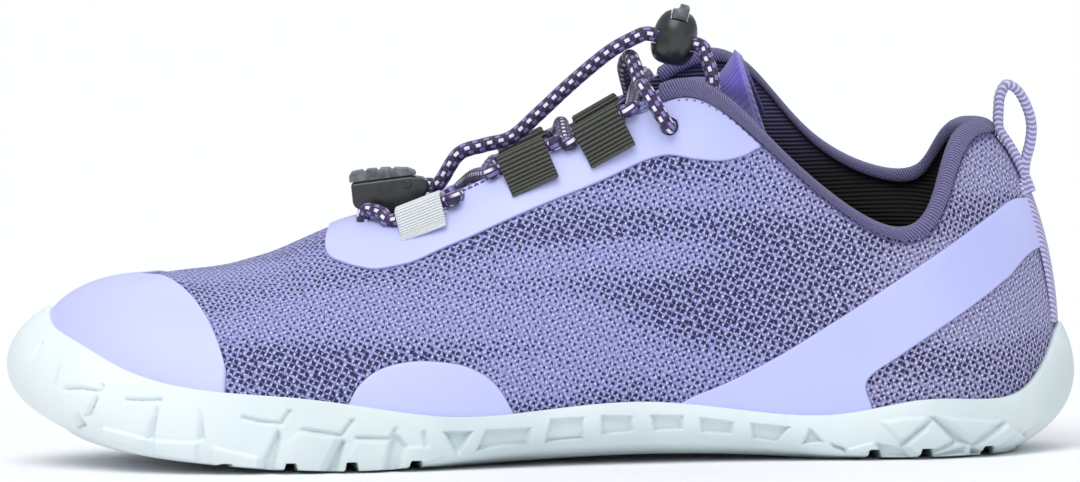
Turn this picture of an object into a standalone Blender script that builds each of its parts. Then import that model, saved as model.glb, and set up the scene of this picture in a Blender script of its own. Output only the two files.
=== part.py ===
"""Barefoot shoe with an elastic lace, left foot, standing empty on its sole.

The toe points to -X, the outer (lateral) side faces -Y and the inner (medial) side +Y.
Sizes are in millimetres and become metres when an object is made.
"""
import bpy
import bmesh
import math
from collections import namedtuple
import numpy as np

for old in list(bpy.data.objects):
    bpy.data.objects.remove(old)

MM = 0.001

# Driving dimensions of the shoe.
LENGTH = 264.0          # outside length of the sole
BALL_WIDTH = 98.0       # outside width of the sole at the ball of the foot
HEEL_WIDTH = 69.0       # outside width of the sole at the heel
TOE_HEIGHT = 46.5       # top of the toe box above the floor
INSTEP_HEIGHT = 92.5    # outer corner of the throat above the floor
HEEL_HEIGHT = 80.5      # collar at the back above the floor
SOLE_STACK = 6.0        # sole under the foot at the ball
UPPER_WALL = 1.8        # knit and lining together
HEEL_PADDING = 3.0      # extra wall round the ankle
CLEARANCE = 0.3         # between pieces that touch
FACET_GAP = 0.5         # under the overlays, whose flat faces cut across the curve
CUP_WALL = 3.0          # sole rubber beside the foot, at the bottom
RIM_WALL = 1.5          # sole rubber at its top edge
OVERLAY = 0.9           # thickness of the bonded overlays
INSOLE_THICKNESS = 3.0
TONGUE_THICKNESS = 2.6
BINDING_DEPTH = 3.6     # how far the collar binding reaches down
BINDING_THICKNESS = 0.9
LUG_DEPTH = 2.8         # grooves between the tread lugs
LUG_GAP = 3.2
LACE = 3.5              # diameter of the elastic lace
TAPE_WIDTH = 12.4       # webbing of the lace loops
TAPE_THICKNESS = 1.0
PULL_WIDTH = 10.0       # tape of the heel pull loop
PULL_THICKNESS = 1.8
TOGGLE_WIDTH = 10.0     # cord lock
TOGGLE_DEPTH = 12.0
TOGGLE_HEIGHT = 11.5
BUTTON_RADIUS = 3.7
BUTTON_TRAVEL = 1.6
CLIP_LENGTH = 18.0      # clip on the ends of the lace
CLIP_WIDTH = 10.0
CLIP_HEIGHT = 6.0

# One row for each section from the toe tip (0) to the middle of the heel (16).
# toe, crest: shares of LENGTH from the toe tip, at the foot of the wall and at its top.
# lateral, medial and the two tops: shares of half the width that the row names.
# The heights of the tops: shares of the height that the row names.
Section = namedtuple("Section", "width height toe lateral medial crest "
                     "lateral_top lateral_height medial_top medial_height")
SECTIONS = [
    Section("ball", "toe", 0.034, 0.164, 0.164, 0.136, 0.102, 0.996, 0.102, 0.996),
    Section("ball", "toe", 0.044, -0.143, 0.418, 0.140, 0.102, 0.998, 0.102, 0.998),
    Section("ball", "toe", 0.076, -0.459, 0.663, 0.152, 0.102, 1.002, 0.102, 1.002),
    Section("ball", "toe", 0.123, -0.710, 0.822, 0.174, 0.092, 1.024, 0.092, 1.024),
    Section("ball", "toe", 0.189, -0.878, 0.929, 0.220, 0.082, 1.060, 0.082, 1.060),
    Section("ball", "instep", 0.273, -0.931, 0.943, 0.277, 0.071, 0.590, 0.071, 0.590),
    Section("ball", "instep", 0.348, -0.922, 0.888, 0.330, 0.061, 0.646, 0.061, 0.646),
    Section("ball", "instep", 0.424, -0.867, 0.776, 0.383, -0.214, 0.668, 0.327, 0.673),
    Section("ball", "instep", 0.508, -0.776, 0.643, 0.485, -0.286, 0.793, 0.398, 0.806),
    Section("heel", "instep", 0.598, -0.986, 0.826, 0.568, -0.449, 0.903, 0.623, 0.919),
    Section("heel", "instep", 0.689, -0.928, 0.855, 0.636, -0.580, 1.000, 0.725, 1.043),
    Section("heel", "instep", 0.773, -0.942, 0.928, 0.697, -0.812, 0.897, 0.855, 1.027),
    Section("heel", "heel", 0.848, -0.957, 0.942, 0.758, -0.884, 0.839, 0.899, 0.963),
    Section("heel", "heel", 0.905, -0.835, 0.821, 0.826, -0.884, 0.696, 0.884, 0.842),
    Section("heel", "heel", 0.945, -0.565, 0.565, 0.869, -0.754, 0.770, 0.754, 0.870),
    Section("heel", "heel", 0.968, -0.232, 0.232, 0.894, -0.406, 0.975, 0.406, 0.994),
    Section("heel", "heel", 0.974, 0.000, 0.000, 0.920, 0.000, 1.000, 0.000, 1.000),
]

# The bow of the upper's wall in each section, as shares of the wall's own height and reach,
# and the sole there: floor, rim and tread are heights, and belly the height of its middle,
# in shares of SOLE_STACK; tuck, puff and bulge shape its side, in shares of CUP_WALL.
Wall = namedtuple("Wall", "rise lean drop spread floor rim tread belly tuck puff bulge")
WALLS = [
    Wall(0.58, 0.21, 0.01, 0.82, 3.00, 6.33, 1.58, 1.50, 2.75, 3.75, 4.60),
    Wall(0.57, 0.16, 0.01, 0.80, 2.80, 5.75, 1.46, 1.33, 2.50, 2.70, 3.90),
    Wall(0.56, 0.12, 0.00, 0.74, 2.25, 5.05, 1.17, 0.98, 2.00, 1.20, 2.40),
    Wall(0.55, 0.07, 0.00, 0.68, 1.68, 4.05, 0.83, 0.62, 1.40, 0.60, 1.20),
    Wall(0.53, 0.03, 0.00, 0.63, 1.28, 3.35, 0.50, 0.28, 0.85, 0.30, 0.55),
    Wall(0.50, 0.04, 0.00, 0.60, 1.04, 3.03, 0.20, -0.06, 0.50, 0.20, 0.40),
    Wall(0.48, 0.04, 0.00, 0.60, 0.98, 2.57, 0.12, -0.12, 0.50, 0.20, 0.40),
    Wall(0.46, 0.04, 0.10, 0.55, 1.07, 2.17, 0.50, 0.06, 0.70, 0.20, 0.35),
    Wall(0.44, 0.04, 0.15, 0.50, 1.22, 2.38, 0.98, 0.25, 0.95, 0.20, 0.35),
    Wall(0.42, 0.03, 0.20, 0.42, 1.36, 2.57, 1.10, 0.33, 1.00, 0.20, 0.35),
    Wall(0.40, 0.03, 0.25, 0.35, 1.33, 2.14, 0.87, 0.22, 0.90, 0.20, 0.35),
    Wall(0.38, 0.04, 0.30, 0.25, 1.17, 1.92, 0.33, -0.02, 0.65, 0.20, 0.35),
    Wall(0.36, 0.05, 0.33, 0.20, 1.03, 2.42, 0.14, -0.14, 0.65, 0.20, 0.35),
    Wall(0.36, 0.06, 0.33, 0.30, 1.08, 2.40, 0.14, -0.10, 1.20, 0.40, 0.40),
    Wall(0.36, 0.07, 0.30, 0.45, 1.20, 2.70, 0.22, 0.04, 2.00, 0.80, 0.60),
    Wall(0.35, 0.07, 0.25, 0.75, 1.40, 4.20, 0.33, 0.22, 2.90, 1.80, 1.10),
    Wall(0.35, 0.075, 0.20, 0.93, 1.50, 5.20, 0.33, 0.28, 3.30, 2.45, 1.35),
]
LAST = len(SECTIONS) - 1            # number of the section at the back
AROUND = 2 * LAST                   # sections once round the shoe
THROAT = 6                          # section where the two sides part

WIDTHS = {"ball": BALL_WIDTH / 2, "heel": HEEL_WIDTH / 2}
HEIGHTS = {"toe": TOE_HEIGHT, "instep": INSTEP_HEIGHT, "heel": HEEL_HEIGHT}


def knot(index, side):
    """One section as plain millimetres, for its lateral (-1) or medial (+1) side."""
    row, wall = SECTIONS[index], WALLS[index]
    half, tall = WIDTHS[row.width], HEIGHTS[row.height]
    foot = row.lateral if side < 0 else row.medial
    top = row.lateral_top if side < 0 else row.medial_top
    up = row.lateral_height if side < 0 else row.medial_height
    return [row.toe * LENGTH, foot * half, row.crest * LENGTH, top * half, up * tall,
            wall.rise, wall.lean, wall.drop, wall.spread, wall.floor * SOLE_STACK,
            wall.rim * SOLE_STACK, wall.tread * SOLE_STACK, wall.belly * SOLE_STACK,
            wall.tuck * CUP_WALL, wall.bulge * CUP_WALL, wall.puff * CUP_WALL]


def closed_spline(knots):
    """A smooth closed curve through rows of numbers, read at any share of the way round."""
    count = len(knots)
    system = 4 * np.eye(count) + np.roll(np.eye(count), 1, 0) + np.roll(np.eye(count), -1, 0)
    bend = np.linalg.solve(system, 6 * (np.roll(knots, -1, 0) - 2 * knots + np.roll(knots, 1, 0)))

    def read(k):
        k = np.mod(np.asarray(k, float), count)
        i = np.floor(k).astype(int) % count
        j = (i + 1) % count
        t = (k - np.floor(k))[:, None]
        return ((1 - t) * knots[i] + t * knots[j]
                + ((1 - t) ** 3 - (1 - t)) * bend[i] / 6 + (t ** 3 - t) * bend[j] / 6)
    return read


ring = closed_spline(np.array([knot(i, -1) for i in range(LAST + 1)]
                              + [knot(i, 1) for i in range(LAST - 1, 0, -1)]))


def level(k):
    """The section number at k, whichever side k is on (k runs 0 to 32 round the shoe)."""
    k = np.mod(np.asarray(k, float), AROUND)
    return np.where(k <= LAST, k, AROUND - k)


def last(k, v):
    """Points on the outside of the foot's form: v runs from 0 at the sole to 1 at the top."""
    k, v = np.broadcast_arrays(np.asarray(k, float), np.asarray(v, float))
    here = ring(k.ravel())
    other = ring(-k.ravel())
    shared = (level(k.ravel()) <= THROAT)[:, None]
    top = np.where(shared, (here[:, 2:5] + other[:, 2:5]) / 2, here[:, 2:5])
    foot = np.stack([here[:, 0], here[:, 1], here[:, 9]], 1)
    ahead, behind = ring(k.ravel() + 0.05), ring(k.ravel() - 0.05)
    along = ahead[:, :2] - behind[:, :2]
    out = np.stack([-along[:, 1], along[:, 0]], 1)
    out = -out / np.linalg.norm(out, axis=1)[:, None]
    tall = (top[:, 2] - foot[:, 2])[:, None]
    first = foot.copy()
    first[:, :2] += here[:, 6:7] * tall * out
    first[:, 2:] += here[:, 5:6] * tall
    second = top.copy()
    second[:, :2] += here[:, 8:9] * (foot - top)[:, :2]
    second[:, 2:] -= here[:, 7:8] * tall
    v = v.ravel()[:, None]
    return ((1 - v) ** 3 * foot + 3 * v * (1 - v) ** 2 * first
            + 3 * v ** 2 * (1 - v) * second + v ** 3 * top)


def outward(k, v):
    """Unit normals of the last."""
    k, v = np.broadcast_arrays(np.asarray(k, float), np.asarray(v, float))
    k, v = k.ravel(), v.ravel()
    step = 0.02
    low, high = np.maximum(v - step, 0), np.minimum(v + step, 1)
    inside = np.minimum(v, 1 - step)
    across = last(k + step, inside) - last(k - step, inside)
    upward = last(k, high) - last(k, low)
    normal = np.cross(across, upward)
    return normal / np.linalg.norm(normal, axis=1)[:, None]


def skin(k, v, offset=0.0):
    """Points at a distance outside the last, with the ridge of the vamp shared by both sides."""
    k, v = np.broadcast_arrays(np.asarray(k, float), np.asarray(v, float))
    k, v = k.ravel(), v.ravel()
    normal = outward(k, v)
    mirrored = outward(-k, v)
    ridge = ((level(k) <= THROAT + 1e-6) & (v > 0.999))[:, None]
    both = normal + mirrored
    both = both / np.linalg.norm(both, axis=1)[:, None]
    normal = np.where(ridge, both, normal)
    return last(k, v) + np.asarray(offset, float).reshape(-1, 1) * normal


def column(k, index):
    return ring(np.atleast_1d(np.asarray(k, float)))[:, index]


def at_height(k, z):
    """The share v at which the last reaches a height."""
    k, z = np.atleast_1d(k).astype(float), np.atleast_1d(z).astype(float)
    low, high = np.zeros(len(k)), np.ones(len(k))
    for _ in range(24):
        middle = (low + high) / 2
        under = last(k, middle)[:, 2] < z
        low, high = np.where(under, middle, low), np.where(under, high, middle)
    return (low + high) / 2


def trace(points, side):
    """The (k, v) of side-view points (x from the toe, z) on the lateral (-1) or medial side."""
    grid_k = np.linspace(0.0, LAST, 65)
    grid_v = np.linspace(0.02, 1.0, 25)
    ks, vs = [a.ravel() for a in np.meshgrid(grid_k, grid_v)]
    places = last(ks * -side, vs)
    found = []
    for x, z in points:
        nearest = np.argmin((places[:, 0] - x) ** 2 + (places[:, 2] - z) ** 2)
        k, v = ks[nearest], vs[nearest]
        for _ in range(8):
            p = last([k * -side, (k + 0.01) * -side, k * -side], [v, v, max(v - 0.01, 0.0)])
            slope = np.array([[p[1, 0] - p[0, 0], p[0, 0] - p[2, 0]],
                              [p[1, 2] - p[0, 2], p[0, 2] - p[2, 2]]]) / 0.01
            miss = np.array([x - p[0, 0], z - p[0, 2]])
            step = np.linalg.lstsq(slope, miss, rcond=1e-3)[0]
            k = float(np.clip(k + np.clip(step[0], -0.5, 0.5), 0.0, LAST))
            v = float(np.clip(v + np.clip(step[1], -0.2, 0.2), 0.0, 1.0))
        found.append((k * -side, v))
    return np.array(found)


def smooth_path(points, count, weights=1.0):
    """Evenly spaced points on a smooth curve through the given ones."""
    points = np.array(points, float)
    ends = np.vstack([2 * points[0] - points[1], points, 2 * points[-1] - points[-2]])
    fine = []
    for i in range(1, len(ends) - 2):
        a, b, c, d = ends[i - 1:i + 3]
        for t in np.linspace(0, 1, 16, endpoint=False):
            fine.append(0.5 * (2 * b + (c - a) * t + (2 * a - 5 * b + 4 * c - d) * t ** 2
                               + (3 * b - a - 3 * c + d) * t ** 3))
    fine.append(points[-1])
    fine = np.array(fine)
    steps = np.diff(fine, axis=0) * weights
    run = np.concatenate([[0], np.cumsum(np.linalg.norm(steps, axis=1))])
    want = np.linspace(0, run[-1], count)
    return np.stack([np.interp(want, run, fine[:, i]) for i in range(fine.shape[1])], 1)


def finish(name, colour, roughness):
    material = bpy.data.materials.new(name)
    material.use_nodes = True
    shader = material.node_tree.nodes["Principled BSDF"]
    shader.inputs["Base Color"].default_value = (*colour, 1.0)
    shader.inputs["Roughness"].default_value = roughness
    return material


def place(points):
    """Millimetres from the toe tip to metres about the middle of the shoe."""
    points = np.array(points, float)
    points[:, 0] -= LENGTH / 2
    return points * MM


def add_object(name, points, faces, material, smooth=60):
    """A closed solid from points in millimetres, its double points merged."""
    mesh = bpy.data.meshes.new(name)
    mesh.from_pydata([tuple(p) for p in place(points)], [], [tuple(f) for f in faces])
    body = bmesh.new()
    body.from_mesh(mesh)
    bmesh.ops.remove_doubles(body, verts=body.verts, dist=0.00002)
    bmesh.ops.dissolve_degenerate(body, dist=0.00001, edges=body.edges)
    bmesh.ops.recalc_face_normals(body, faces=body.faces)
    body.to_mesh(mesh)
    body.free()
    mesh.materials.append(material)
    mesh.shade_smooth()
    mesh.set_sharp_from_angle(angle=math.radians(smooth))
    thing = bpy.data.objects.new(name, mesh)
    bpy.context.scene.collection.objects.link(thing)
    return thing


def shell(name, grid_k, grid_v, inner, outer, material, closed=False):
    """A sheet on the last: grid_k and grid_v are rows of columns, inner and outer its offsets."""
    grid_k, grid_v = np.array(grid_k, float), np.array(grid_v, float)
    rows, columns = grid_k.shape
    inner = np.broadcast_to(inner, grid_k.shape).ravel()
    outer = np.broadcast_to(outer, grid_k.shape).ravel()
    front = skin(grid_k, grid_v, outer)
    back = skin(grid_k, grid_v, inner)
    return sheet(name, front, back, rows, columns, material, closed)


def sheet(name, front, back, rows, columns, material, closed=False):
    """Two layers of points joined along their open edges, also across the vamp's ridge."""
    both = np.vstack([front, back])
    merged = {}
    index = []
    for point, partner in zip(front, back):
        key = tuple(np.round(np.concatenate([point, partner]), 2))
        index.append(merged.setdefault(key, len(index)))
    count = rows * columns
    quads = []
    for r in range(rows - 1):
        for c in range(columns if closed else columns - 1):
            d = (c + 1) % columns
            quad = [index[r * columns + c], index[r * columns + d],
                    index[(r + 1) * columns + d], index[(r + 1) * columns + c]]
            quad = [q for n, q in enumerate(quad) if q != quad[n - 1]]
            if len(set(quad)) > 2:
                quads.append(quad)
    used = {}
    for quad in quads:
        for a, b in zip(quad, quad[1:] + quad[:1]):
            used[(a, b)] = used.get((a, b), 0) + 1
    faces = [list(q) for q in quads] + [[q + count for q in reversed(quad)] for quad in quads]
    for (a, b) in used:
        if (b, a) not in used and used[(a, b)] == 1:
            faces.append([b, a, a + count, b + count])
    return add_object(name, both, faces, material)


def tube_mesh(path, radius, sides=8, squash=1.0):
    """Points and faces of a round or oval bar along a path, with flat ends."""
    path = np.array(path, float)
    along = np.gradient(path, axis=0)
    along /= np.linalg.norm(along, axis=1)[:, None]
    side = np.cross(along[0], [0.0, 0.0, 1.0])
    if np.linalg.norm(side) < 0.1:
        side = np.cross(along[0], [0.0, 1.0, 0.0])
    points, faces = [], []
    for centre, forward in zip(path, along):
        side = side - forward * np.dot(side, forward)
        side /= np.linalg.norm(side)
        up = np.cross(side, forward)
        for i in range(sides):
            angle = 2 * math.pi * (i + 0.5) / sides
            points.append(centre + radius * (math.cos(angle) * side
                                             + squash * math.sin(angle) * up))
    for r in range(len(path) - 1):
        for i in range(sides):
            j = (i + 1) % sides
            faces.append([r * sides + i, r * sides + j, (r + 1) * sides + j, (r + 1) * sides + i])
    faces.append(list(range(sides))[::-1])
    faces.append([(len(path) - 1) * sides + i for i in range(sides)])
    return points, faces


def join_cut(target, cutters, operation):
    for cutter in cutters:
        change = target.modifiers.new(cutter.name, "BOOLEAN")
        change.operation = operation
        change.object = cutter
        change.solver = "EXACT"
        cutter.hide_render = True
        cutter.display_type = "WIRE"


KNIT = finish("knit", (0.25, 0.23, 0.55), 0.85)
OVERLAY_FILM = finish("overlay film", (0.58, 0.60, 0.90), 0.45)
RUBBER = finish("rubber", (0.78, 0.86, 0.92), 0.5)
FOAM = finish("insole foam", (0.12, 0.10, 0.22), 0.9)
SATIN = finish("tongue knit", (0.14, 0.11, 0.40), 0.6)
BINDING = finish("binding", (0.24, 0.21, 0.42), 0.8)
BLACK_TAPE = finish("black webbing", (0.015, 0.016, 0.014), 0.8)
WHITE_TAPE = finish("white webbing", (0.85, 0.88, 0.86), 0.7)
LACE_CORD = finish("elastic lace", (0.10, 0.06, 0.25), 0.6)
PLASTIC = finish("black plastic", (0.02, 0.021, 0.023), 0.35)
GREY_PLASTIC = finish("grey plastic", (0.30, 0.33, 0.34), 0.4)

# Sections used for the meshes, closer where the form turns fast.
SIDE_STEPS = np.array([0, 0.6, 1.2, 1.8, 2.4, 3, 3.7, 4.4, 5, 5.5, 6, 6.25, 6.6, 7, 7.7, 8.4, 9.1,
                       9.7, 10.2, 10.8, 11.5, 12.2, 12.9, 13.5, 14.1, 14.7, 15.3, 16])


def rim_share(k):
    """The share v of the upper's height that the sole's rim reaches."""
    return at_height(k, column(k, 10))


# Upper: one hollow knit wall, thicker round the ankle, open at the throat, the collar and below.
def wall_thickness(k, v):
    ankle = np.clip((level(k) - 11.0) / 2.0, 0, 1) * np.clip((v - 0.45) / 0.35, 0, 1)
    edge = np.clip((0.94 - v) / 0.12, 0, 1)
    return UPPER_WALL + HEEL_PADDING * ankle * edge


UPPER_ROWS = np.array([0, 0.14, 0.28, 0.42, 0.56, 0.7, 0.82, 0.94, 1.0])
around = np.concatenate([SIDE_STEPS, AROUND - SIDE_STEPS[-2:0:-1]])
upper_k, upper_v = np.meshgrid(around, UPPER_ROWS)
upper = shell("upper", upper_k, upper_v, -wall_thickness(upper_k, upper_v), 0.0, KNIT, closed=True)

# Sole: one rubber cup with a rim that climbs at the toe and the heel.
RIM_DROP = 0.25         # share of the side's height that a handle of its bow takes


def rim_point(k, offset):
    return skin(k, rim_share(k), offset)


def base_point(k, reach, z):
    """A point beside the foot's outline, at a height."""
    k = np.atleast_1d(np.asarray(k, float))
    ahead, behind = ring(k + 0.05), ring(k - 0.05)
    along = ahead[:, :2] - behind[:, :2]
    out = -np.stack([-along[:, 1], along[:, 0]], 1)
    out /= np.linalg.norm(out, axis=1)[:, None]
    flat = ring(k)[:, :2] + np.asarray(reach, float).reshape(-1, 1) * out
    return np.column_stack([flat, np.broadcast_to(z, len(k))])


def sole_side(k, share):
    """The outside of the sole's wall, from its rim (0) to the edge of the tread (1)."""
    k = np.atleast_1d(np.asarray(k, float))
    tuck, bulge = column(k, 13), column(k, 14)
    full = CLEARANCE + CUP_WALL
    top = rim_point(k, CLEARANCE + RIM_WALL)
    tread = np.maximum(column(k, 11), 0.3)
    low = base_point(k, full - tuck, tread)
    drop = (RIM_DROP * (top[:, 2] - low[:, 2]))[:, None]
    lean = (base_point(k, 1.0, 0.0) - base_point(k, 0.0, 0.0))
    first = top + bulge[:, None] * lean - drop * [0, 0, 1.0]
    second = low + (tuck + column(k, 15))[:, None] * lean + drop * [0, 0, 1.0]
    s = np.asarray(share, float).reshape(-1, 1)
    return ((1 - s) ** 3 * top + 3 * s * (1 - s) ** 2 * first
            + 3 * s ** 2 * (1 - s) * second + s ** 3 * low)


def across_points(near, far, shares, lift):
    """Points between two edges of one section, with a height added to each."""
    return [near + (far - near) * s + np.array([0, 0, h]) for s, h in zip(shares, lift)]


def sole_section(level_here):
    """One closed section of the sole, from the lateral rim round to the lateral rim again."""
    k = float(level_here)
    near, far = np.array([k]), np.array([-k])
    points = []
    share = rim_share(near)[0]
    other = rim_share(far)[0]
    walls = [1.0, 0.8, 0.6, 0.4, 0.2]
    points += [skin(near, share * w, CLEARANCE)[0] for w in walls]
    floor_near = base_point(near, CLEARANCE, column(near, 9) - CLEARANCE)[0]
    floor_far = base_point(far, CLEARANCE, column(far, 9) - CLEARANCE)[0]
    points += across_points(floor_near, floor_far, [0, 0.3, 0.5, 0.7, 1], [0] * 5)
    points += [skin(far, other * w, CLEARANCE)[0] for w in walls[::-1]]
    steps = [0, 0.2, 0.4, 0.6, 0.8, 1]
    points += [sole_side(far, s)[0] for s in steps]
    low_far, low_near = sole_side(far, 1)[0], sole_side(near, 1)[0]
    middle = max(column(near, 12)[0], 0.0)
    for s in (0.08, 0.2, 0.5, 0.8, 0.92):
        edge = low_far + (low_near - low_far) * s
        depth = 0.6 if s in (0.08, 0.92) else 1.0
        edge[2] += (middle - edge[2]) * depth
        points.append(edge)
    points += [sole_side(near, s)[0] for s in steps[::-1]]
    return points


def loft(sections):
    """Faces between closed sections with the same number of points."""
    size = len(sections[0])
    points = [p for section in sections for p in section]
    faces = []
    for r in range(len(sections) - 1):
        for i in range(size):
            j = (i + 1) % size
            faces.append([r * size + i, r * size + j, (r + 1) * size + j, (r + 1) * size + i])
    return points, faces


sole = add_object("sole", *loft([sole_section(s) for s in SIDE_STEPS]), RUBBER, 40)


def block(centre, sizes, turn=0.0, taper=1.0):
    """A cutting block: sizes along, across and up, narrower at its top by taper."""
    points = []
    for up in (-0.5, 0.5):
        shrink = taper if up > 0 else 1.0
        for a, b in ((-1, -1), (1, -1), (1, 1), (-1, 1)):
            x, y = a * sizes[0] / 2 * shrink, b * sizes[1] / 2
            points.append([centre[0] + x * math.cos(turn) - y * math.sin(turn),
                           centre[1] + x * math.sin(turn) + y * math.cos(turn),
                           centre[2] + up * sizes[2]])
    return points, [[3, 2, 1, 0], [4, 5, 6, 7], [0, 1, 5, 4], [1, 2, 6, 5], [2, 3, 7, 6],
                    [3, 0, 4, 7]]


def gather(parts):
    points, faces = [], []
    for some_points, some_faces in parts:
        faces += [[n + len(points) for n in face] for face in some_faces]
        points += list(some_points)
    return points, faces


def level_at(x, side):
    """The section whose sole edge lies at a length from the toe."""
    ks = np.linspace(0.2, LAST - 0.2, 400)
    return ks[np.argmin(np.abs(sole_side(ks * -side, 0.7)[:, 0] - x))]


# The tread's grooves, as shares of LENGTH from the toe: transverse gaps and where they climb
# the side of the sole.
FORE_GAPS = [0.137, 0.188, 0.247, 0.303, 0.363]
HEEL_GAPS = [0.792, 0.840, 0.901]
SIDE_GAP_HEIGHT = 6.2
GROOVE_TURN = 0.12      # the grooves' slant, in radians
GROOVE_BELOW = 6.0      # how far a cutting block reaches below the floor
cuts = []
for share in FORE_GAPS + HEEL_GAPS:
    centre = (share * LENGTH, 0, (LUG_DEPTH - GROOVE_BELOW) / 2)
    cuts.append(block(centre, (LUG_GAP, BALL_WIDTH * 1.2, LUG_DEPTH + GROOVE_BELOW), GROOVE_TURN))
grooves = add_object("tread_grooves", *gather(cuts), RUBBER)

# Six shallow windows along the raised edge of the midfoot on each side.
WINDOWS = [0.476, 0.523, 0.570, 0.616, 0.663, 0.707]
WINDOW_LENGTH = 8.0
WINDOW_HEIGHT = 4.6
WINDOW_DEPTH = 1.2
GAP_DEPTH = 1.7
CUTTER_DEPTH = 5.0
CUTTER_TAPER = 0.8


def side_cut(share, side, part_down, depth):
    """Where a block cuts into the sole's side, and how far it is turned to face it."""
    k = level_at(share * LENGTH, side) * -side
    out = base_point(k, 1, 0)[0] - base_point(k, 0, 0)[0]
    turn = math.atan2(out[1], out[0]) + math.pi / 2
    return sole_side(k, part_down)[0] + out * (CUTTER_DEPTH / 2 - depth), turn


pockets = []
for side in (-1, 1):
    for share in WINDOWS:
        centre, turn = side_cut(share, side, 0.55, WINDOW_DEPTH)
        pockets.append(block(centre, (WINDOW_LENGTH, CUTTER_DEPTH, WINDOW_HEIGHT), turn,
                             CUTTER_TAPER))
    for share in FORE_GAPS[1:] + HEEL_GAPS[1:]:
        centre, turn = side_cut(share, side, 0.75, GAP_DEPTH)
        centre[2] = SIDE_GAP_HEIGHT / 2 - 1
        pockets.append(block(centre, (LUG_GAP, CUTTER_DEPTH, SIDE_GAP_HEIGHT + 2), turn,
                             CUTTER_TAPER))
side_cuts = add_object("side_pockets", *gather(pockets), RUBBER)
join_cut(sole, [grooves, side_cuts], "DIFFERENCE")

# Insole: a removable footbed inside the upper's wall.
INSOLE_STEPS = np.array([0, 0.6, 1.3, 2, 2.8, 3.6, 4.4, 5.3, 6.2, 7.2, 8.2, 9.2, 10.2, 11.2, 12.2,
                         13.1, 14, 14.8, 15.5, 16])


def insole_section(level_here):
    near, far = np.array([float(level_here)]), np.array([-float(level_here)])
    inset = -(UPPER_WALL + CLEARANCE)
    floor = column(near, 9)[0]
    rim = floor + INSOLE_THICKNESS
    bottom = [base_point(k, inset - 0.8, floor)[0] for k in (near, far)]
    side = [base_point(k, inset - 0.3, floor + INSOLE_THICKNESS * 0.5)[0] for k in (near, far)]
    top = [base_point(k, inset - 0.8, rim + 0.6)[0] for k in (near, far)]
    points = across_points(bottom[0], bottom[1], [0, 0.5, 1], [0] * 3) + [side[1]]
    points += across_points(top[1], top[0], [0, 0.15, 0.5, 0.85, 1], [0, -0.5, -0.7, -0.5, 0])
    return points + [side[0]]


insole = add_object("insole", *loft([insole_section(s) for s in INSOLE_STEPS]), FOAM, 40)

# Tongue: a padded strip under the throat, tucked below both of its edges.
TONGUE_START, TONGUE_END = 5.35, 10.35
TONGUE_TUCK = 0.84
TONGUE_GAP = 1.3
TONGUE_CROWN = 0.5
ACROSS = np.array([0, 0.12, 0.27, 0.42, 0.58, 0.73, 0.88, 1.0])


def tongue_row(k_here, depth):
    k = np.array([float(k_here)])
    share = np.clip((k_here - THROAT) / 1.5, 0, 1)
    near = skin(k, TONGUE_TUCK, -(UPPER_WALL + TONGUE_GAP + depth))[0]
    far = skin(-k, TONGUE_TUCK, -(UPPER_WALL + TONGUE_GAP + depth))[0]
    crown = (skin(k, 1.0)[0] + skin(-k, 1.0)[0]) / 2
    drop = UPPER_WALL + TONGUE_GAP + depth - (TONGUE_CROWN + 0.6) * share
    crown = crown - np.array([0, 0, drop])
    control = 2 * crown - (near + far) / 2
    s = ACROSS[:, None]
    return (1 - s) ** 2 * near + 2 * s * (1 - s) * control + s ** 2 * far


tongue_ks = np.linspace(TONGUE_START, TONGUE_END, 12)
front = np.vstack([tongue_row(k, 0.0) for k in tongue_ks])
back = np.vstack([tongue_row(k, TONGUE_THICKNESS) for k in tongue_ks])
tongue = sheet("tongue", front, back, len(tongue_ks), len(ACROSS), SATIN)


# Overlays: thin film bonded on the knit, bounded by curves drawn in the side view.
# x is a share of LENGTH from the toe tip and z a share of INSTEP_HEIGHT.
Edge = namedtuple("Edge", "x z")
FILM = (FACET_GAP, FACET_GAP + OVERLAY)
ON_SKIN = (1.0, 4.0)    # a step in v is about four times as long as a step in k
RIM_GAP = 0.8           # from the sole's rim to the overlay above it


def drawn(edges, side):
    return trace([(e.x * LENGTH, e.z * INSTEP_HEIGHT) for e in edges], side)


def rim_edge(k):
    """The (k, v) of points just above the sole's rim."""
    k = np.atleast_1d(np.asarray(k, float))
    return np.stack([k, at_height(k, column(k, 10) + RIM_GAP)], 1)


def patch(name, low, high, columns, rows, material, offsets=FILM):
    """An overlay between two edges given as (k, v) points."""
    low, high = smooth_path(low, columns, ON_SKIN), smooth_path(high, columns, ON_SKIN)
    grid = np.array([low + (high - low) * t for t in np.linspace(0, 1, rows)])
    return shell(name, grid[:, :, 0], grid[:, :, 1], offsets[0], offsets[1], material)


# Toe cap, from the sole's rim up over the toe box. Seen from above its edge is a bow that
# crosses the ridge at CAP_FRONT and meets the sole at CAP_SIDE, shares of LENGTH.
CAP_FRONT, CAP_SIDE, CAP_BOW = 0.127, 0.201, 1.2


def cap_edge(k):
    """The share v at which the toe cap ends in each section."""
    k = np.atleast_1d(np.asarray(k, float))
    ridge = last(np.array([0.0]), 1.0)[0, 1]
    low, high = rim_edge(k)[:, 1], np.ones(len(k))
    for _ in range(20):
        middle = (low + high) / 2
        p = last(k, middle)
        bow = (np.abs(p[:, 1] - ridge) / (BALL_WIDTH / 2)) ** CAP_BOW
        inside = p[:, 0] < LENGTH * (CAP_FRONT + (CAP_SIDE - CAP_FRONT) * bow)
        low, high = np.where(inside, middle, low), np.where(inside, high, middle)
    return np.stack([k, (low + high) / 2], 1)


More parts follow.
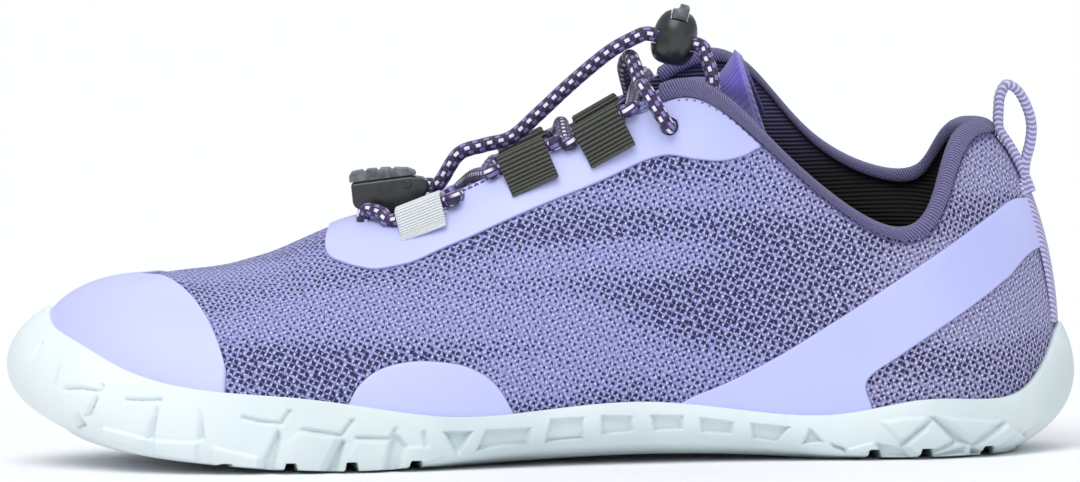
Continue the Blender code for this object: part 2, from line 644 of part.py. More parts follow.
cap_ks = np.linspace(4.6, -4.6, 93)
cap_ks = cap_ks[cap_edge(cap_ks)[:, 1] > rim_edge(cap_ks)[:, 1] + 0.015]
cap_ks = np.linspace(cap_ks[0], cap_ks[-1], 25)
toe_cap = patch("toe_cap", rim_edge(cap_ks), cap_edge(cap_ks), 25, 6, OVERLAY_FILM)


def side_of(points, side):
    """The (k, v) of drawn points with k running on smoothly through the toe."""
    kv = drawn(points, side)
    kv[:, 0] = np.where(kv[:, 0] > LAST, kv[:, 0] - AROUND, kv[:, 0])
    return kv


# Side panels over the joint of the little toe and of the big toe.
SIDE_PANEL = [Edge(0.322, 0.206), Edge(0.333, 0.232), Edge(0.354, 0.272), Edge(0.387, 0.288),
              Edge(0.420, 0.280), Edge(0.443, 0.257), Edge(0.460, 0.217), Edge(0.474, 0.168)]


def side_panel(name, side):
    high = side_of(SIDE_PANEL, side)
    low = rim_edge(np.linspace(high[0, 0], high[-1, 0], 8))
    high[0], high[-1] = low[0] + [0, 0.012], low[-1] + [0, 0.012]
    return patch(name, low, high, 9, 3, OVERLAY_FILM)


panel_lateral = side_panel("side_panel_lateral", -1)
panel_medial = side_panel("side_panel_medial", 1)

# Eyestay, one piece round the throat: from the collar forward, across the vamp and back.
EYESTAY = [Edge(0.296, 0.600), Edge(0.302, 0.570), Edge(0.317, 0.540), Edge(0.345, 0.522),
           Edge(0.375, 0.534), Edge(0.408, 0.570), Edge(0.445, 0.611), Edge(0.492, 0.667),
           Edge(0.540, 0.718), Edge(0.587, 0.774), Edge(0.618, 0.800), Edge(0.652, 0.781),
           Edge(0.676, 0.781), Edge(0.700, 0.806)]
EYESTAY_FRONT = 5.5
BINDING_START = 9.7     # section at the corner of the throat where the binding begins
STAY_GAP = 1.5          # from the binding down to the eyestay


def below_top(k, depth):
    """The share v that lies a distance below the upper's edge."""
    k = np.atleast_1d(np.asarray(k, float))
    tall = np.linalg.norm(last(k, 1.0) - last(k, 0.85), axis=1) / 0.15
    return 1 - depth / tall


def eyestay_side(side):
    low = side_of(EYESTAY, side)
    low[0] = [-side * EYESTAY_FRONT, 1.0]
    steps = SIDE_STEPS[(SIDE_STEPS >= EYESTAY_FRONT) & (SIDE_STEPS < 10.5)]
    middles = (steps[5:] + steps[4:-1]) / 2
    top_k = np.sort(np.concatenate([steps, middles, [abs(low[-1, 0]) + 0.1]]))
    stay = smooth_path(low, len(top_k), ON_SKIN)
    bound = np.clip((top_k - BINDING_START + 0.6) / 0.3, 0, 1)
    edge = 1 - bound * (1 - below_top(-side * top_k, BINDING_DEPTH + STAY_GAP))
    high = np.stack([-side * top_k, edge], 1)
    rows = [stay + (high - stay) * t for t in (0, 0.25, 0.5, 0.75, 1)]
    return np.array(rows)


near_stay, far_stay = eyestay_side(-1), eyestay_side(1)
stay_grid = np.concatenate([near_stay[:, ::-1], far_stay], 1)
eyestay = shell("eyestay", stay_grid[:, :, 0], stay_grid[:, :, 1], *FILM, OVERLAY_FILM)

# Heel bands, from the sole at the waist up to the tape at the back.
BAND_LOW = [Edge(0.806, 0.138), Edge(0.806, 0.196), Edge(0.822, 0.234), Edge(0.856, 0.290),
            Edge(0.894, 0.366), Edge(0.932, 0.462), Edge(0.962, 0.545)]
BAND_HIGH = [Edge(0.668, 0.166), Edge(0.697, 0.198), Edge(0.742, 0.250), Edge(0.795, 0.333),
             Edge(0.848, 0.408), Edge(0.902, 0.498), Edge(0.943, 0.600)]
TAPE_EDGE = PULL_WIDTH / 2 + 2 * CLEARANCE
BAND_ENDS = (0.661, 0.753)      # heights of its two edges at the tape, shares of HEEL_HEIGHT


def back_level(z, reach):
    """The section at which the back of the heel is a distance beside its middle."""
    ks = np.linspace(LAST - 1.6, LAST, 200)
    return np.interp(-reach, skin(ks, at_height(ks, np.full(200, z)))[:, 1], ks)


def heel_band(name, side):
    low, high = side_of(BAND_LOW, side), side_of(BAND_HIGH, side)
    low[0] = rim_edge(low[0, 0])[0]
    high[0] = rim_edge(high[0, 0])[0]
    for edge, share in zip((low, high), BAND_ENDS):
        z = share * HEEL_HEIGHT
        k = -side * back_level(z, TAPE_EDGE)
        edge[-1] = [k, at_height(k, z)[0]]
    return patch(name, low, high, 17, 3, OVERLAY_FILM)


band_lateral = heel_band("heel_band_lateral", -1)
band_medial = heel_band("heel_band_medial", 1)

# Collar binding: a knit tape folded over the collar's edge, from throat corner to throat corner.
collar_steps = SIDE_STEPS[SIDE_STEPS >= BINDING_START]
binding_ks = np.concatenate([collar_steps, AROUND - collar_steps[-2::-1]])
FOLD_ROUND = 0.4        # rounding of the fold
FOLD_INSIDE = 2.2       # how far the tape reaches down on the inside


def binding_ring(k):
    """One ten-sided section of the folded tape: down the outside, over the edge and inside."""
    k = np.array([k])
    upright = (last(k, 1.0) - last(k, 0.97))[0]
    upright /= np.linalg.norm(upright)
    normal = outward(k, 1.0)[0]
    top = last(k, 1.0)[0]
    lower = last(k, below_top(k, BINDING_DEPTH))[0]
    outer = CLEARANCE + BINDING_THICKNESS
    inner = -(UPPER_WALL + CLEARANCE)
    inmost = inner - BINDING_THICKNESS
    points = [lower + normal * CLEARANCE, lower + normal * outer]
    for offset, rise in ((outer, FOLD_ROUND), (outer - FOLD_ROUND, outer),
                         (inmost + FOLD_ROUND, outer), (inmost, FOLD_ROUND),
                         (inmost, -FOLD_INSIDE), (inner, -FOLD_INSIDE),
                         (inner, CLEARANCE), (CLEARANCE, CLEARANCE)):
        points.append(top + normal * offset + upright * rise)
    return points


points, faces = loft([binding_ring(k) for k in binding_ks])
size = 10
faces.append(list(range(size))[::-1])
faces.append([len(points) - size + i for i in range(size)])
collar_binding = add_object("collar_binding", points, faces, BINDING)


def ribbon(name, path, across, width, thickness, material):
    """A tape of even thickness along a path, with its width along one direction."""
    path, across = np.array(path, float), np.array(across, float)
    across = across / np.linalg.norm(across)
    along = np.gradient(path, axis=0)
    face = np.cross(along, across)
    face /= np.linalg.norm(face, axis=1)[:, None]
    sections = []
    for centre, normal in zip(path, face):
        sections.append([centre + across * width / 2 * a + normal * thickness / 2 * b
                         for a, b in ((-1, -1), (1, -1), (1, 1), (-1, 1))])
    points, faces = loft(sections)
    faces += [[3, 2, 1, 0], [len(points) - 4 + i for i in range(4)]]
    return add_object(name, points, faces, material, 50)


# Heel tape and pull loop: a webbing tape down the middle of the back, folded into a loop above.
TAPE_TOP, TAPE_FOOT = 0.790, 0.442      # heights as shares of HEEL_HEIGHT
tape_zs = np.linspace(TAPE_FOOT, TAPE_TOP, 9) * HEEL_HEIGHT
tape_path = skin(np.full(9, float(LAST)), at_height(np.full(9, float(LAST)), tape_zs),
                 FILM[0] + OVERLAY / 2 + 0.3)
back_tape = ribbon("back_tape", tape_path, (0, 1, 0), PULL_WIDTH, OVERLAY, OVERLAY_FILM)

# The loop's path, as shares of LENGTH back from the collar's edge and of HEEL_HEIGHT above it.
Fold = namedtuple("Fold", "back up")
PULL_LOOP = [Fold(0.0265, -0.088), Fold(0.0195, -0.040), Fold(0.0135, 0.025), Fold(0.0140, 0.085),
             Fold(0.0205, 0.128), Fold(0.0310, 0.108), Fold(0.0400, 0.050), Fold(0.0440, -0.005),
             Fold(0.0430, -0.062), Fold(0.0385, -0.125), Fold(0.0400, -0.178)]
collar_back = last(float(LAST), 1.0)[0]
pull_path = smooth_path([(collar_back[0] + f.back * LENGTH, 0, collar_back[2] + f.up * HEEL_HEIGHT)
                         for f in PULL_LOOP], 22)
pull_loop = ribbon("pull_loop", pull_path, (0, 1, 0), PULL_WIDTH, PULL_THICKNESS, OVERLAY_FILM)

# Lace loops: webbing folded round the lace beyond the throat's edge, and sewn on the eyestay.
LOOP_PLACES = [0.393, 0.489, 0.559]     # shares of LENGTH from the toe tip
LOOP_EASE = [1.1, 0.1, 0.1]             # extra room where the throat's edge curves
LACE_HOLE = LACE / 2 + CLEARANCE
TUNNEL = LACE_HOLE + TAPE_THICKNESS / 2
TUNNEL_OUT = LACE_HOLE + TAPE_THICKNESS + 0.35
TUNNEL_UP = 0.6
TAPE_LEVEL = FILM[1] + 2 * FACET_GAP + TAPE_THICKNESS / 2
TAPE_SEAM = 8.5                         # how far the tape reaches down the eyestay


def throat_frame(x, side):
    """Edge point, directions along the throat (backward), down the upper and out of it."""
    ks = np.linspace(THROAT + 0.1, 10.5, 300)
    k = np.array([np.interp(x, last(-side * ks, 1.0)[:, 0], ks) * -side])
    here = last(k, 1.0)[0]
    step = 0.05 * -side
    along = (last(k + step, 1.0) - last(k - step, 1.0))[0]
    along /= np.linalg.norm(along)
    down = (last(k, 0.9) - last(k, 1.0))[0]
    down -= along * np.dot(down, along)
    down /= np.linalg.norm(down)
    out = np.cross(along, down)
    out *= math.copysign(1.0, np.dot(out, outward(k, 0.95)[0]))
    return here, along, down, out


def lace_point(row, side, end):
    """The middle of a loop's tunnel, at its toe end (-1), its middle (0) or its heel end (1)."""
    here, along, down, out = throat_frame(LOOP_PLACES[row] * LENGTH, side)
    here = here + (out - down) * LOOP_EASE[row]
    return here - down * TUNNEL_OUT + out * TUNNEL_UP + along * end * (TAPE_WIDTH / 2 + CLEARANCE)


def lace_loop(name, row, side, material):
    here, along, down, out = throat_frame(LOOP_PLACES[row] * LENGTH, side)
    here = here + (out - down) * LOOP_EASE[row]
    path = [here + down * d + out * TAPE_LEVEL for d in (TAPE_SEAM, TAPE_SEAM / 2, 0.5)]
    for angle in (75, 105, 135, 170, 205, 240, 275, 310, 335):
        a = math.radians(angle)
        path.append(here + down * (TUNNEL * math.cos(a) - TUNNEL_OUT)
                    + out * (TUNNEL * math.sin(a) + TUNNEL_UP))
    return ribbon(name, path, along, TAPE_WIDTH, TAPE_THICKNESS, material)


SIDES = {"lateral": -1, "medial": 1}
for row, material in enumerate((WHITE_TAPE, BLACK_TAPE, BLACK_TAPE)):
    for word, side in SIDES.items():
        lace_loop(f"lace_loop_{row + 1}_{word}", row, side, material)

# Punched eyelets near the top corners of the throat.
EYELET = Edge(0.624, 0.885)
for word, side in SIDES.items():
    k, v = side_of([EYELET], side)[0]
    axis = outward([k], [v])[0]
    path = [skin([k], [v], h)[0] for h in (-7.0, 7.0)]
    punch = add_object(f"eyelet_punch_{word}", *tube_mesh(path, LACE / 2 + 0.5, 10), KNIT)
    for target in (upper, eyestay):
        join_cut(target, [punch], "DIFFERENCE")


LEAD = 2.6              # a lace runs straight this far before it bends


def strand(row, side, hump, to_row, to_side, count=11):
    """A lace from the heel end of one loop to the toe end of another, bowed upwards."""
    start, end = lace_point(row, side, 1), lace_point(to_row, to_side, -1)
    leave = throat_frame(LOOP_PLACES[row] * LENGTH, side)[1]
    arrive = throat_frame(LOOP_PLACES[to_row] * LENGTH, to_side)[1]
    middle = (start + end) / 2 + np.array([0, 0, hump])
    return smooth_path([start, start + leave * LEAD, middle, end - arrive * LEAD, end], count)


# Lace crossings between the rows of loops; each pair is joined where it crosses.
HUMPS = [-0.5, 1.8]
for row, hump in enumerate(HUMPS):
    arms = []
    for side in (-1, 1):
        path = strand(row, side, hump, row + 1, -side)
        arms.append(add_object(f"lace_arm_{row}_{side}", *tube_mesh(path, LACE / 2, 8), LACE_CORD))
    crossing = arms[0]
    crossing.name = f"lace_crossing_{row + 1}"
    join_cut(crossing, [arms[1]], "UNION")


def eyelet_mouth(side, height):
    """A point over the middle of an eyelet."""
    k, v = side_of([EYELET], side)[0]
    return skin([k], [v], height)[0]


def over_tongue(k, height):
    """A point above the middle of the throat."""
    return (skin([k], 1.0)[0] + skin([-k], 1.0)[0]) / 2 + np.array([0, 0, height])


# The last strand runs from the upper lateral loop over the medial edge to the medial eyelet.
LACE_LEVEL = FILM[1] + LACE / 2 + 2 * CLEARANCE
edge_k = side_of([EYELET], 1)[0, 0]
start = lace_point(2, -1, 1)
leave = throat_frame(LOOP_PLACES[2] * LENGTH, -1)[1]
top_strand = smooth_path([start, start + leave * LEAD, over_tongue(9.35, 1.4),
                          skin([edge_k], [0.995], LACE_LEVEL + 0.5)[0] - [2.0, 0, 0],
                          eyelet_mouth(1, LACE_LEVEL)], 17)
add_object("lace_top_strand", *tube_mesh(top_strand, LACE / 2, 8), LACE_CORD)

# Short starts of the lace, from its holes in front of the throat to the lowest loops.
for word, side in SIDES.items():
    mouth = lace_point(0, side, -1)
    toeward = -throat_frame(LOOP_PLACES[0] * LENGTH, side)[1]
    k = -side * 6.02
    hole = skin([k], [0.93], FILM[1] + LACE / 2 + 1.6)[0]
    path = smooth_path([mouth, mouth + toeward * 2.0, (mouth + toeward * 2.0 + hole) / 2
                        + np.array([0, 0, 1.2]), hole], 7)
    add_object(f"lace_start_{word}", *tube_mesh(path, LACE / 2, 8), LACE_CORD)

# Cord lock, tilted back, with a slot for both ends of the lace and a sprung button.
TOGGLE_TILT = math.radians(14)
TOGGLE_CENTRE = np.array([166.3, -5.0, 102.6])
TOGGLE_UP = np.array([math.sin(TOGGLE_TILT), 0, math.cos(TOGGLE_TILT)])
TOGGLE_ALONG = np.array([math.cos(TOGGLE_TILT), 0, -math.sin(TOGGLE_TILT)])
TOGGLE_BELOW = 6.0      # body below the middle of the slot
LACE_PITCH = LACE + 2 * CLEARANCE
SLOT_HEIGHT = LACE + 2 * CLEARANCE
SLOT_WIDTH = LACE_PITCH + LACE + 2 * CLEARANCE
BORE_FLOOR = SLOT_HEIGHT / 2 + 0.5
STEM_RADIUS = 2.6
TOGGLE_ABOVE = TOGGLE_HEIGHT - TOGGLE_BELOW


def turned(centre, axis, across, rings, sides, stretch=1.0):
    """A solid of rings (radius, height) about an axis; stretch widens it along Y."""
    points, faces = [], []
    for radius, height in rings:
        for i in range(sides):
            angle = 2 * math.pi * i / sides
            points.append(centre + axis * height + across * radius * math.cos(angle)
                          + np.array([0, 1.0, 0]) * radius * stretch * math.sin(angle))
    for r in range(len(rings) - 1):
        for i in range(sides):
            j = (i + 1) % sides
            faces.append([r * sides + i, r * sides + j, (r + 1) * sides + j, (r + 1) * sides + i])
    faces.append(list(range(sides))[::-1])
    faces.append([(len(rings) - 1) * sides + i for i in range(sides)])
    return points, faces


WAIST = 0.88
half = TOGGLE_WIDTH / 2
toggle_rings = [(half * 0.62, -TOGGLE_BELOW), (half * 0.9, -TOGGLE_BELOW + 1.1),
                (half, -TOGGLE_BELOW + 2.6), (half * 0.98, -1.0), (half * WAIST, 1.6),
                (half * 0.97, 3.6), (half * 0.93, TOGGLE_ABOVE - 0.5), (half * 0.84, TOGGLE_ABOVE)]
toggle = add_object("toggle_body", *turned(TOGGLE_CENTRE, TOGGLE_UP, TOGGLE_ALONG, toggle_rings, 20,
                                           TOGGLE_DEPTH / TOGGLE_WIDTH), PLASTIC, 35)
slot_points = [TOGGLE_CENTRE + TOGGLE_ALONG * a * 12 + np.array([0, 1.0, 0]) * b * SLOT_WIDTH / 2
               + TOGGLE_UP * c * SLOT_HEIGHT / 2
               for c in (-1, 1) for a, b in ((-1, -1), (1, -1), (1, 1), (-1, 1))]
slot = add_object("toggle_slot", slot_points, [[3, 2, 1, 0], [4, 5, 6, 7], [0, 1, 5, 4],
                                               [1, 2, 6, 5], [2, 3, 7, 6], [3, 0, 4, 7]], PLASTIC)
bore_rings = [(STEM_RADIUS + CLEARANCE, BORE_FLOOR), (STEM_RADIUS + CLEARANCE, TOGGLE_ABOVE + 2)]
bore = add_object("toggle_bore", *turned(TOGGLE_CENTRE, TOGGLE_UP, TOGGLE_ALONG, bore_rings, 16),
                  PLASTIC)
join_cut(toggle, [slot, bore], "DIFFERENCE")

STEM_FOOT = BORE_FLOOR + CLEARANCE + BUTTON_TRAVEL
CAP_FOOT = TOGGLE_ABOVE + CLEARANCE + BUTTON_TRAVEL
button_rings = [(STEM_RADIUS, STEM_FOOT - CAP_FOOT), (STEM_RADIUS, 0), (BUTTON_RADIUS, 0),
                (BUTTON_RADIUS, 1.1), (BUTTON_RADIUS * 0.8, 1.4), (BUTTON_RADIUS * 0.78, 2.1),
                (BUTTON_RADIUS * 0.6, 2.5)]
button = add_object("toggle_button", *turned(TOGGLE_CENTRE + TOGGLE_UP * CAP_FOOT, TOGGLE_UP,
                                             TOGGLE_ALONG, button_rings, 16), PLASTIC, 35)

# Clip on the two ends of the lace, lying on the eyestay in front of the throat.
CLIP_CENTRE = np.array([95.4, 2.5, 66.6])
CLIP_LEAN = math.radians(6)
CLIP_ALONG = np.array([math.cos(CLIP_LEAN), 0, math.sin(CLIP_LEAN)])
CLIP_UP = np.array([-math.sin(CLIP_LEAN), 0, math.cos(CLIP_LEAN)])
# place along the clip, width and height, as shares of its length, width and height.
ClipStep = namedtuple("ClipStep", "along width bottom top")
CLIP_STEPS = [ClipStep(-0.50, 0.50, -0.18, 0.16), ClipStep(-0.44, 0.74, -0.34, 0.28),
              ClipStep(-0.20, 0.98, -0.46, 0.34), ClipStep(0.12, 1.00, -0.48, 0.34),
              ClipStep(0.36, 0.98, -0.40, 0.34), ClipStep(0.50, 0.94, -0.36, 0.30)]


def clip_point(along, across, up):
    return CLIP_CENTRE + CLIP_ALONG * along + CLIP_UP * up + np.array([0, 1.0, 0]) * across


def rounded(step):
    """One eight-sided section of the clip."""
    wide, low, high = step.width * CLIP_WIDTH / 2, step.bottom * CLIP_HEIGHT, step.top * CLIP_HEIGHT
    x = step.along * CLIP_LENGTH
    tall = high - low
    corners = [(-wide, low + 0.3 * tall), (-wide * 0.7, low), (wide * 0.7, low),
               (wide, low + 0.3 * tall), (wide, high - 0.3 * tall), (wide * 0.75, high),
               (-wide * 0.75, high), (-wide, high - 0.3 * tall)]
    return [clip_point(x, y, z) for y, z in corners]


points, faces = loft([rounded(step) for step in CLIP_STEPS])
faces += [list(range(8))[::-1], [len(points) - 8 + i for i in range(8)]]
clip = add_object("end_clip", points, faces, PLASTIC, 35)

# The clip's lever: a grooved grey plate on its back.
LEVER_LENGTH, LEVER_WIDTH, LEVER_THICKNESS = 11.5, 6.4, 1.5
LEVER_RIBS = 5
foot_of_lever = CLIP_STEPS[3].top * CLIP_HEIGHT + CLEARANCE
pitch = LEVER_LENGTH / LEVER_RIBS
outline = [(0.0, 0.0)]
for rib in range(LEVER_RIBS):
    outline += [(rib * pitch, LEVER_THICKNESS), ((rib + 0.62) * pitch, LEVER_THICKNESS),
                ((rib + 0.7) * pitch, LEVER_THICKNESS * 0.6),
                ((rib + 0.95) * pitch, LEVER_THICKNESS * 0.6)]
outline.append((LEVER_LENGTH, 0.0))
lever_points = []
for across in (-0.5, 0.5):
    lever_points += [clip_point(x - LEVER_LENGTH * 0.42, across * LEVER_WIDTH, foot_of_lever + z)
                     for x, z in outline]
size = len(outline)
lever_faces = [list(range(size)), [size + i for i in reversed(range(size))]]
lever_faces += [[i, (i + 1) % size, size + (i + 1) % size, size + i] for i in range(size)]
lever = add_object("clip_lever", lever_points, lever_faces, GREY_PLASTIC, 30)

# The free lengths of lace, routed by hand: x from the toe tip, y and z in millimetres.
Point = namedtuple("Point", "x y z")
SLACK = [Point(153.9, 6.0, 95.6), Point(155.3, -1.0, 98.6), Point(156.4, -8.0, 96.8),
         Point(157.9, -13.5, 91.6)]
LACE_END = [Point(175.6, -9.5, 90.8), Point(175.3, -8.2, 94.4), Point(174.0, -6.2, 98.2)]
LACE_ARC = [Point(156.4, -4.4, 103.2), Point(151.4, -3.6, 100.6), Point(146.0, -2.2, 96.6),
            Point(139.4, -0.6, 91.0), Point(132.6, 0.6, 84.8), Point(125.8, 1.0, 79.0),
            Point(119.0, 1.6, 77.2), Point(112.6, 2.2, 75.0)]


def cord(name, points, count):
    """A round elastic cord on a smooth curve through its points, with closed ends."""
    curve = bpy.data.curves.new(name, "CURVE")
    curve.dimensions = "3D"
    curve.bevel_depth = LACE / 2 * MM
    curve.bevel_resolution = 2
    curve.use_fill_caps = True
    route = place(smooth_path(points, count))
    line = curve.splines.new("POLY")
    line.points.add(len(route) - 1)
    for dot, p in zip(line.points, route):
        dot.co = (*p, 1)
    curve.materials.append(LACE_CORD)
    thing = bpy.data.objects.new(name, curve)
    bpy.context.scene.collection.objects.link(thing)
    return thing


far_mouth = lace_point(2, 1, 1)
far_leave = throat_frame(LOOP_PLACES[2] * LENGTH, 1)[1]
near_eyelet = eyelet_mouth(-1, LACE_LEVEL)
near_edge = skin([side_of([EYELET], -1)[0, 0]], [0.995], LACE_LEVEL + 0.8)[0] - [2.5, 0, 0]
slack_route = [far_mouth, far_mouth + far_leave * LEAD, *SLACK, near_edge, near_eyelet]
slack = cord("lace_slack", slack_route, 18)

clip_mouth = clip_point(CLIP_LENGTH / 2 + CLEARANCE, 0, 0)
for word, side in SIDES.items():
    shift = np.array([0, side * LACE_PITCH / 2, 0])
    through = [TOGGLE_CENTRE + TOGGLE_ALONG * a for a in (7.0, 2.5, -2.5, -7.0)]
    route = [*LACE_END, *through, *LACE_ARC, clip_mouth + CLIP_ALONG * 3.0, clip_mouth]
    cord(f"lace_end_{word}", [np.array(p) + shift for p in route], 33)
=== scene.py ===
"""Barefoot shoe with an elastic lace: its finishes and soft parts, made round the solids."""
import math
from collections import namedtuple

import bpy
import numpy as np
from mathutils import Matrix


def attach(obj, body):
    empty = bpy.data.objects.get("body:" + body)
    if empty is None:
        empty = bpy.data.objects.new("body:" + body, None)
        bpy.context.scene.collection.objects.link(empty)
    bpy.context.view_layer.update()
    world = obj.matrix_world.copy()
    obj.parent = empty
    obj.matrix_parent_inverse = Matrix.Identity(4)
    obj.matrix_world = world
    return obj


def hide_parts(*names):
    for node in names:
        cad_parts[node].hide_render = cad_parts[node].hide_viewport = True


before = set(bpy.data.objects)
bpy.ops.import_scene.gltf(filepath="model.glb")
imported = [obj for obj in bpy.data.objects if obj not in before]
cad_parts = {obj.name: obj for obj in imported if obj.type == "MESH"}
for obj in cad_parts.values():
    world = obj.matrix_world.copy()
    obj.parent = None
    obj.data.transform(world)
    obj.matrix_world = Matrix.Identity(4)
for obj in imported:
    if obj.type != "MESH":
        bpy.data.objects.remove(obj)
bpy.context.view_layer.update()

bpy.ops.object.select_all(action="DESELECT")

# Upper: one engineered mesh knit with a darker lining behind it, bonded and lasted over a foot
# form. The form is a row of sections; x runs back from the toe tip, sizes are in millimetres.
MM = 0.001
LENGTH = 264.0
BALL_WIDTH = 98.0
HEEL_WIDTH = 69.0
TOE_HEIGHT = 46.5
INSTEP_HEIGHT = 92.5
HEEL_HEIGHT = 80.5
SOLE_STACK = 6.0
CUP_WALL = 3.0
UPPER_WALL = 1.8
HEEL_PADDING = 3.0
THROAT = 6              # section where the two sides part
# toe and crest are shares of LENGTH; the sides and tops shares of the named width and height.
Section = namedtuple("Section", "width height toe lateral medial crest "
                     "lateral_top lateral_height medial_top medial_height")
SECTIONS = [Section(*row) for row in (
    ("ball", "toe", 0.034, 0.164, 0.164, 0.136, 0.102, 0.996, 0.102, 0.996),
    ("ball", "toe", 0.044, -0.143, 0.418, 0.140, 0.102, 0.998, 0.102, 0.998),
    ("ball", "toe", 0.076, -0.459, 0.663, 0.152, 0.102, 1.002, 0.102, 1.002),
    ("ball", "toe", 0.123, -0.710, 0.822, 0.174, 0.092, 1.024, 0.092, 1.024),
    ("ball", "toe", 0.189, -0.878, 0.929, 0.220, 0.082, 1.060, 0.082, 1.060),
    ("ball", "instep", 0.273, -0.931, 0.943, 0.277, 0.071, 0.590, 0.071, 0.590),
    ("ball", "instep", 0.348, -0.922, 0.888, 0.330, 0.061, 0.646, 0.061, 0.646),
    ("ball", "instep", 0.424, -0.867, 0.776, 0.383, -0.214, 0.668, 0.327, 0.673),
    ("ball", "instep", 0.508, -0.776, 0.643, 0.485, -0.286, 0.793, 0.398, 0.806),
    ("heel", "instep", 0.598, -0.986, 0.826, 0.568, -0.449, 0.903, 0.623, 0.919),
    ("heel", "instep", 0.689, -0.928, 0.855, 0.636, -0.580, 1.000, 0.725, 1.043),
    ("heel", "instep", 0.773, -0.942, 0.928, 0.697, -0.812, 0.897, 0.855, 1.027),
    ("heel", "heel", 0.848, -0.957, 0.942, 0.758, -0.884, 0.839, 0.899, 0.963),
    ("heel", "heel", 0.905, -0.835, 0.821, 0.826, -0.884, 0.696, 0.884, 0.842),
    ("heel", "heel", 0.945, -0.565, 0.565, 0.869, -0.754, 0.770, 0.754, 0.870),
    ("heel", "heel", 0.968, -0.232, 0.232, 0.894, -0.406, 0.975, 0.406, 0.994),
    ("heel", "heel", 0.974, 0.000, 0.000, 0.920, 0.000, 1.000, 0.000, 1.000),
)]
# The bow of the wall in each section, and the sole there in shares of SOLE_STACK and CUP_WALL.
Wall = namedtuple("Wall", "rise lean drop spread floor rim tread belly tuck puff bulge")
WALLS = [Wall(*row) for row in (
    (0.58, 0.21, 0.01, 0.82, 3.00, 6.33, 1.58, 1.50, 2.75, 3.75, 4.60),
    (0.57, 0.16, 0.01, 0.80, 2.80, 5.75, 1.46, 1.33, 2.50, 2.70, 3.90),
    (0.56, 0.12, 0.00, 0.74, 2.25, 5.05, 1.17, 0.98, 2.00, 1.20, 2.40),
    (0.55, 0.07, 0.00, 0.68, 1.68, 4.05, 0.83, 0.62, 1.40, 0.60, 1.20),
    (0.53, 0.03, 0.00, 0.63, 1.28, 3.35, 0.50, 0.28, 0.85, 0.30, 0.55),
    (0.50, 0.04, 0.00, 0.60, 1.04, 3.03, 0.20, -0.06, 0.50, 0.20, 0.40),
    (0.48, 0.04, 0.00, 0.60, 0.98, 2.57, 0.12, -0.12, 0.50, 0.20, 0.40),
    (0.46, 0.04, 0.10, 0.55, 1.07, 2.17, 0.50, 0.06, 0.70, 0.20, 0.35),
    (0.44, 0.04, 0.15, 0.50, 1.22, 2.38, 0.98, 0.25, 0.95, 0.20, 0.35),
    (0.42, 0.03, 0.20, 0.42, 1.36, 2.57, 1.10, 0.33, 1.00, 0.20, 0.35),
    (0.40, 0.03, 0.25, 0.35, 1.33, 2.14, 0.87, 0.22, 0.90, 0.20, 0.35),
    (0.38, 0.04, 0.30, 0.25, 1.17, 1.92, 0.33, -0.02, 0.65, 0.20, 0.35),
    (0.36, 0.05, 0.33, 0.20, 1.03, 2.42, 0.14, -0.14, 0.65, 0.20, 0.35),
    (0.36, 0.06, 0.33, 0.30, 1.08, 2.40, 0.14, -0.10, 1.20, 0.40, 0.40),
    (0.36, 0.07, 0.30, 0.45, 1.20, 2.70, 0.22, 0.04, 2.00, 0.80, 0.60),
    (0.35, 0.07, 0.25, 0.75, 1.40, 4.20, 0.33, 0.22, 2.90, 1.80, 1.10),
    (0.35, 0.075, 0.20, 0.93, 1.50, 5.20, 0.33, 0.28, 3.30, 2.45, 1.35),
)]
LAST = len(SECTIONS) - 1
AROUND = 2 * LAST
WIDTHS = {"ball": BALL_WIDTH / 2, "heel": HEEL_WIDTH / 2}
HEIGHTS = {"toe": TOE_HEIGHT, "instep": INSTEP_HEIGHT, "heel": HEEL_HEIGHT}


def knot(index, side):
    """One section in millimetres, for its lateral (-1) or medial (+1) side."""
    row, wall = SECTIONS[index], WALLS[index]
    foot, top, up = ((row.lateral, row.lateral_top, row.lateral_height) if side < 0
                     else (row.medial, row.medial_top, row.medial_height))
    half = WIDTHS[row.width]
    return ([row.toe * LENGTH, foot * half, row.crest * LENGTH, top * half,
             up * HEIGHTS[row.height], wall.rise, wall.lean, wall.drop, wall.spread]
            + [s * SOLE_STACK for s in (wall.floor, wall.rim, wall.tread, wall.belly)]
            + [s * CUP_WALL for s in (wall.tuck, wall.bulge, wall.puff)])


KNOTS = np.array([knot(i, -1) for i in range(LAST + 1)]
                 + [knot(i, 1) for i in range(LAST - 1, 0, -1)])
SYSTEM = 4 * np.eye(AROUND) + np.roll(np.eye(AROUND), 1, 0) + np.roll(np.eye(AROUND), -1, 0)
BEND = np.linalg.solve(SYSTEM, 6 * (np.roll(KNOTS, -1, 0) - 2 * KNOTS + np.roll(KNOTS, 1, 0)))


def ring(k):
    """The smooth closed row of section values at k, which runs 0 to 32 round the shoe."""
    k = np.mod(np.atleast_1d(np.asarray(k, float)), AROUND)
    i = np.floor(k).astype(int) % AROUND
    j = (i + 1) % AROUND
    t = (k - np.floor(k))[:, None]
    return ((1 - t) * KNOTS[i] + t * KNOTS[j]
            + ((1 - t) ** 3 - (1 - t)) * BEND[i] / 6 + (t ** 3 - t) * BEND[j] / 6)


def level(k):
    """The section number at k, on whichever side k is."""
    k = np.mod(np.asarray(k, float), AROUND)
    return np.where(k <= LAST, k, AROUND - k)


def unit(rows):
    """Directions with the length 1."""
    return rows / np.linalg.norm(rows, axis=-1, keepdims=True)


def matched(*values):
    """Values as rows of one length."""
    return [a.ravel() for a in np.broadcast_arrays(*(np.asarray(a, float) for a in values))]


def run_along(points, weights=1.0):
    """How far each point lies along the line through them all."""
    steps = np.linalg.norm(np.diff(points, axis=0) * weights, axis=1)
    return np.concatenate([[0], np.cumsum(steps)])


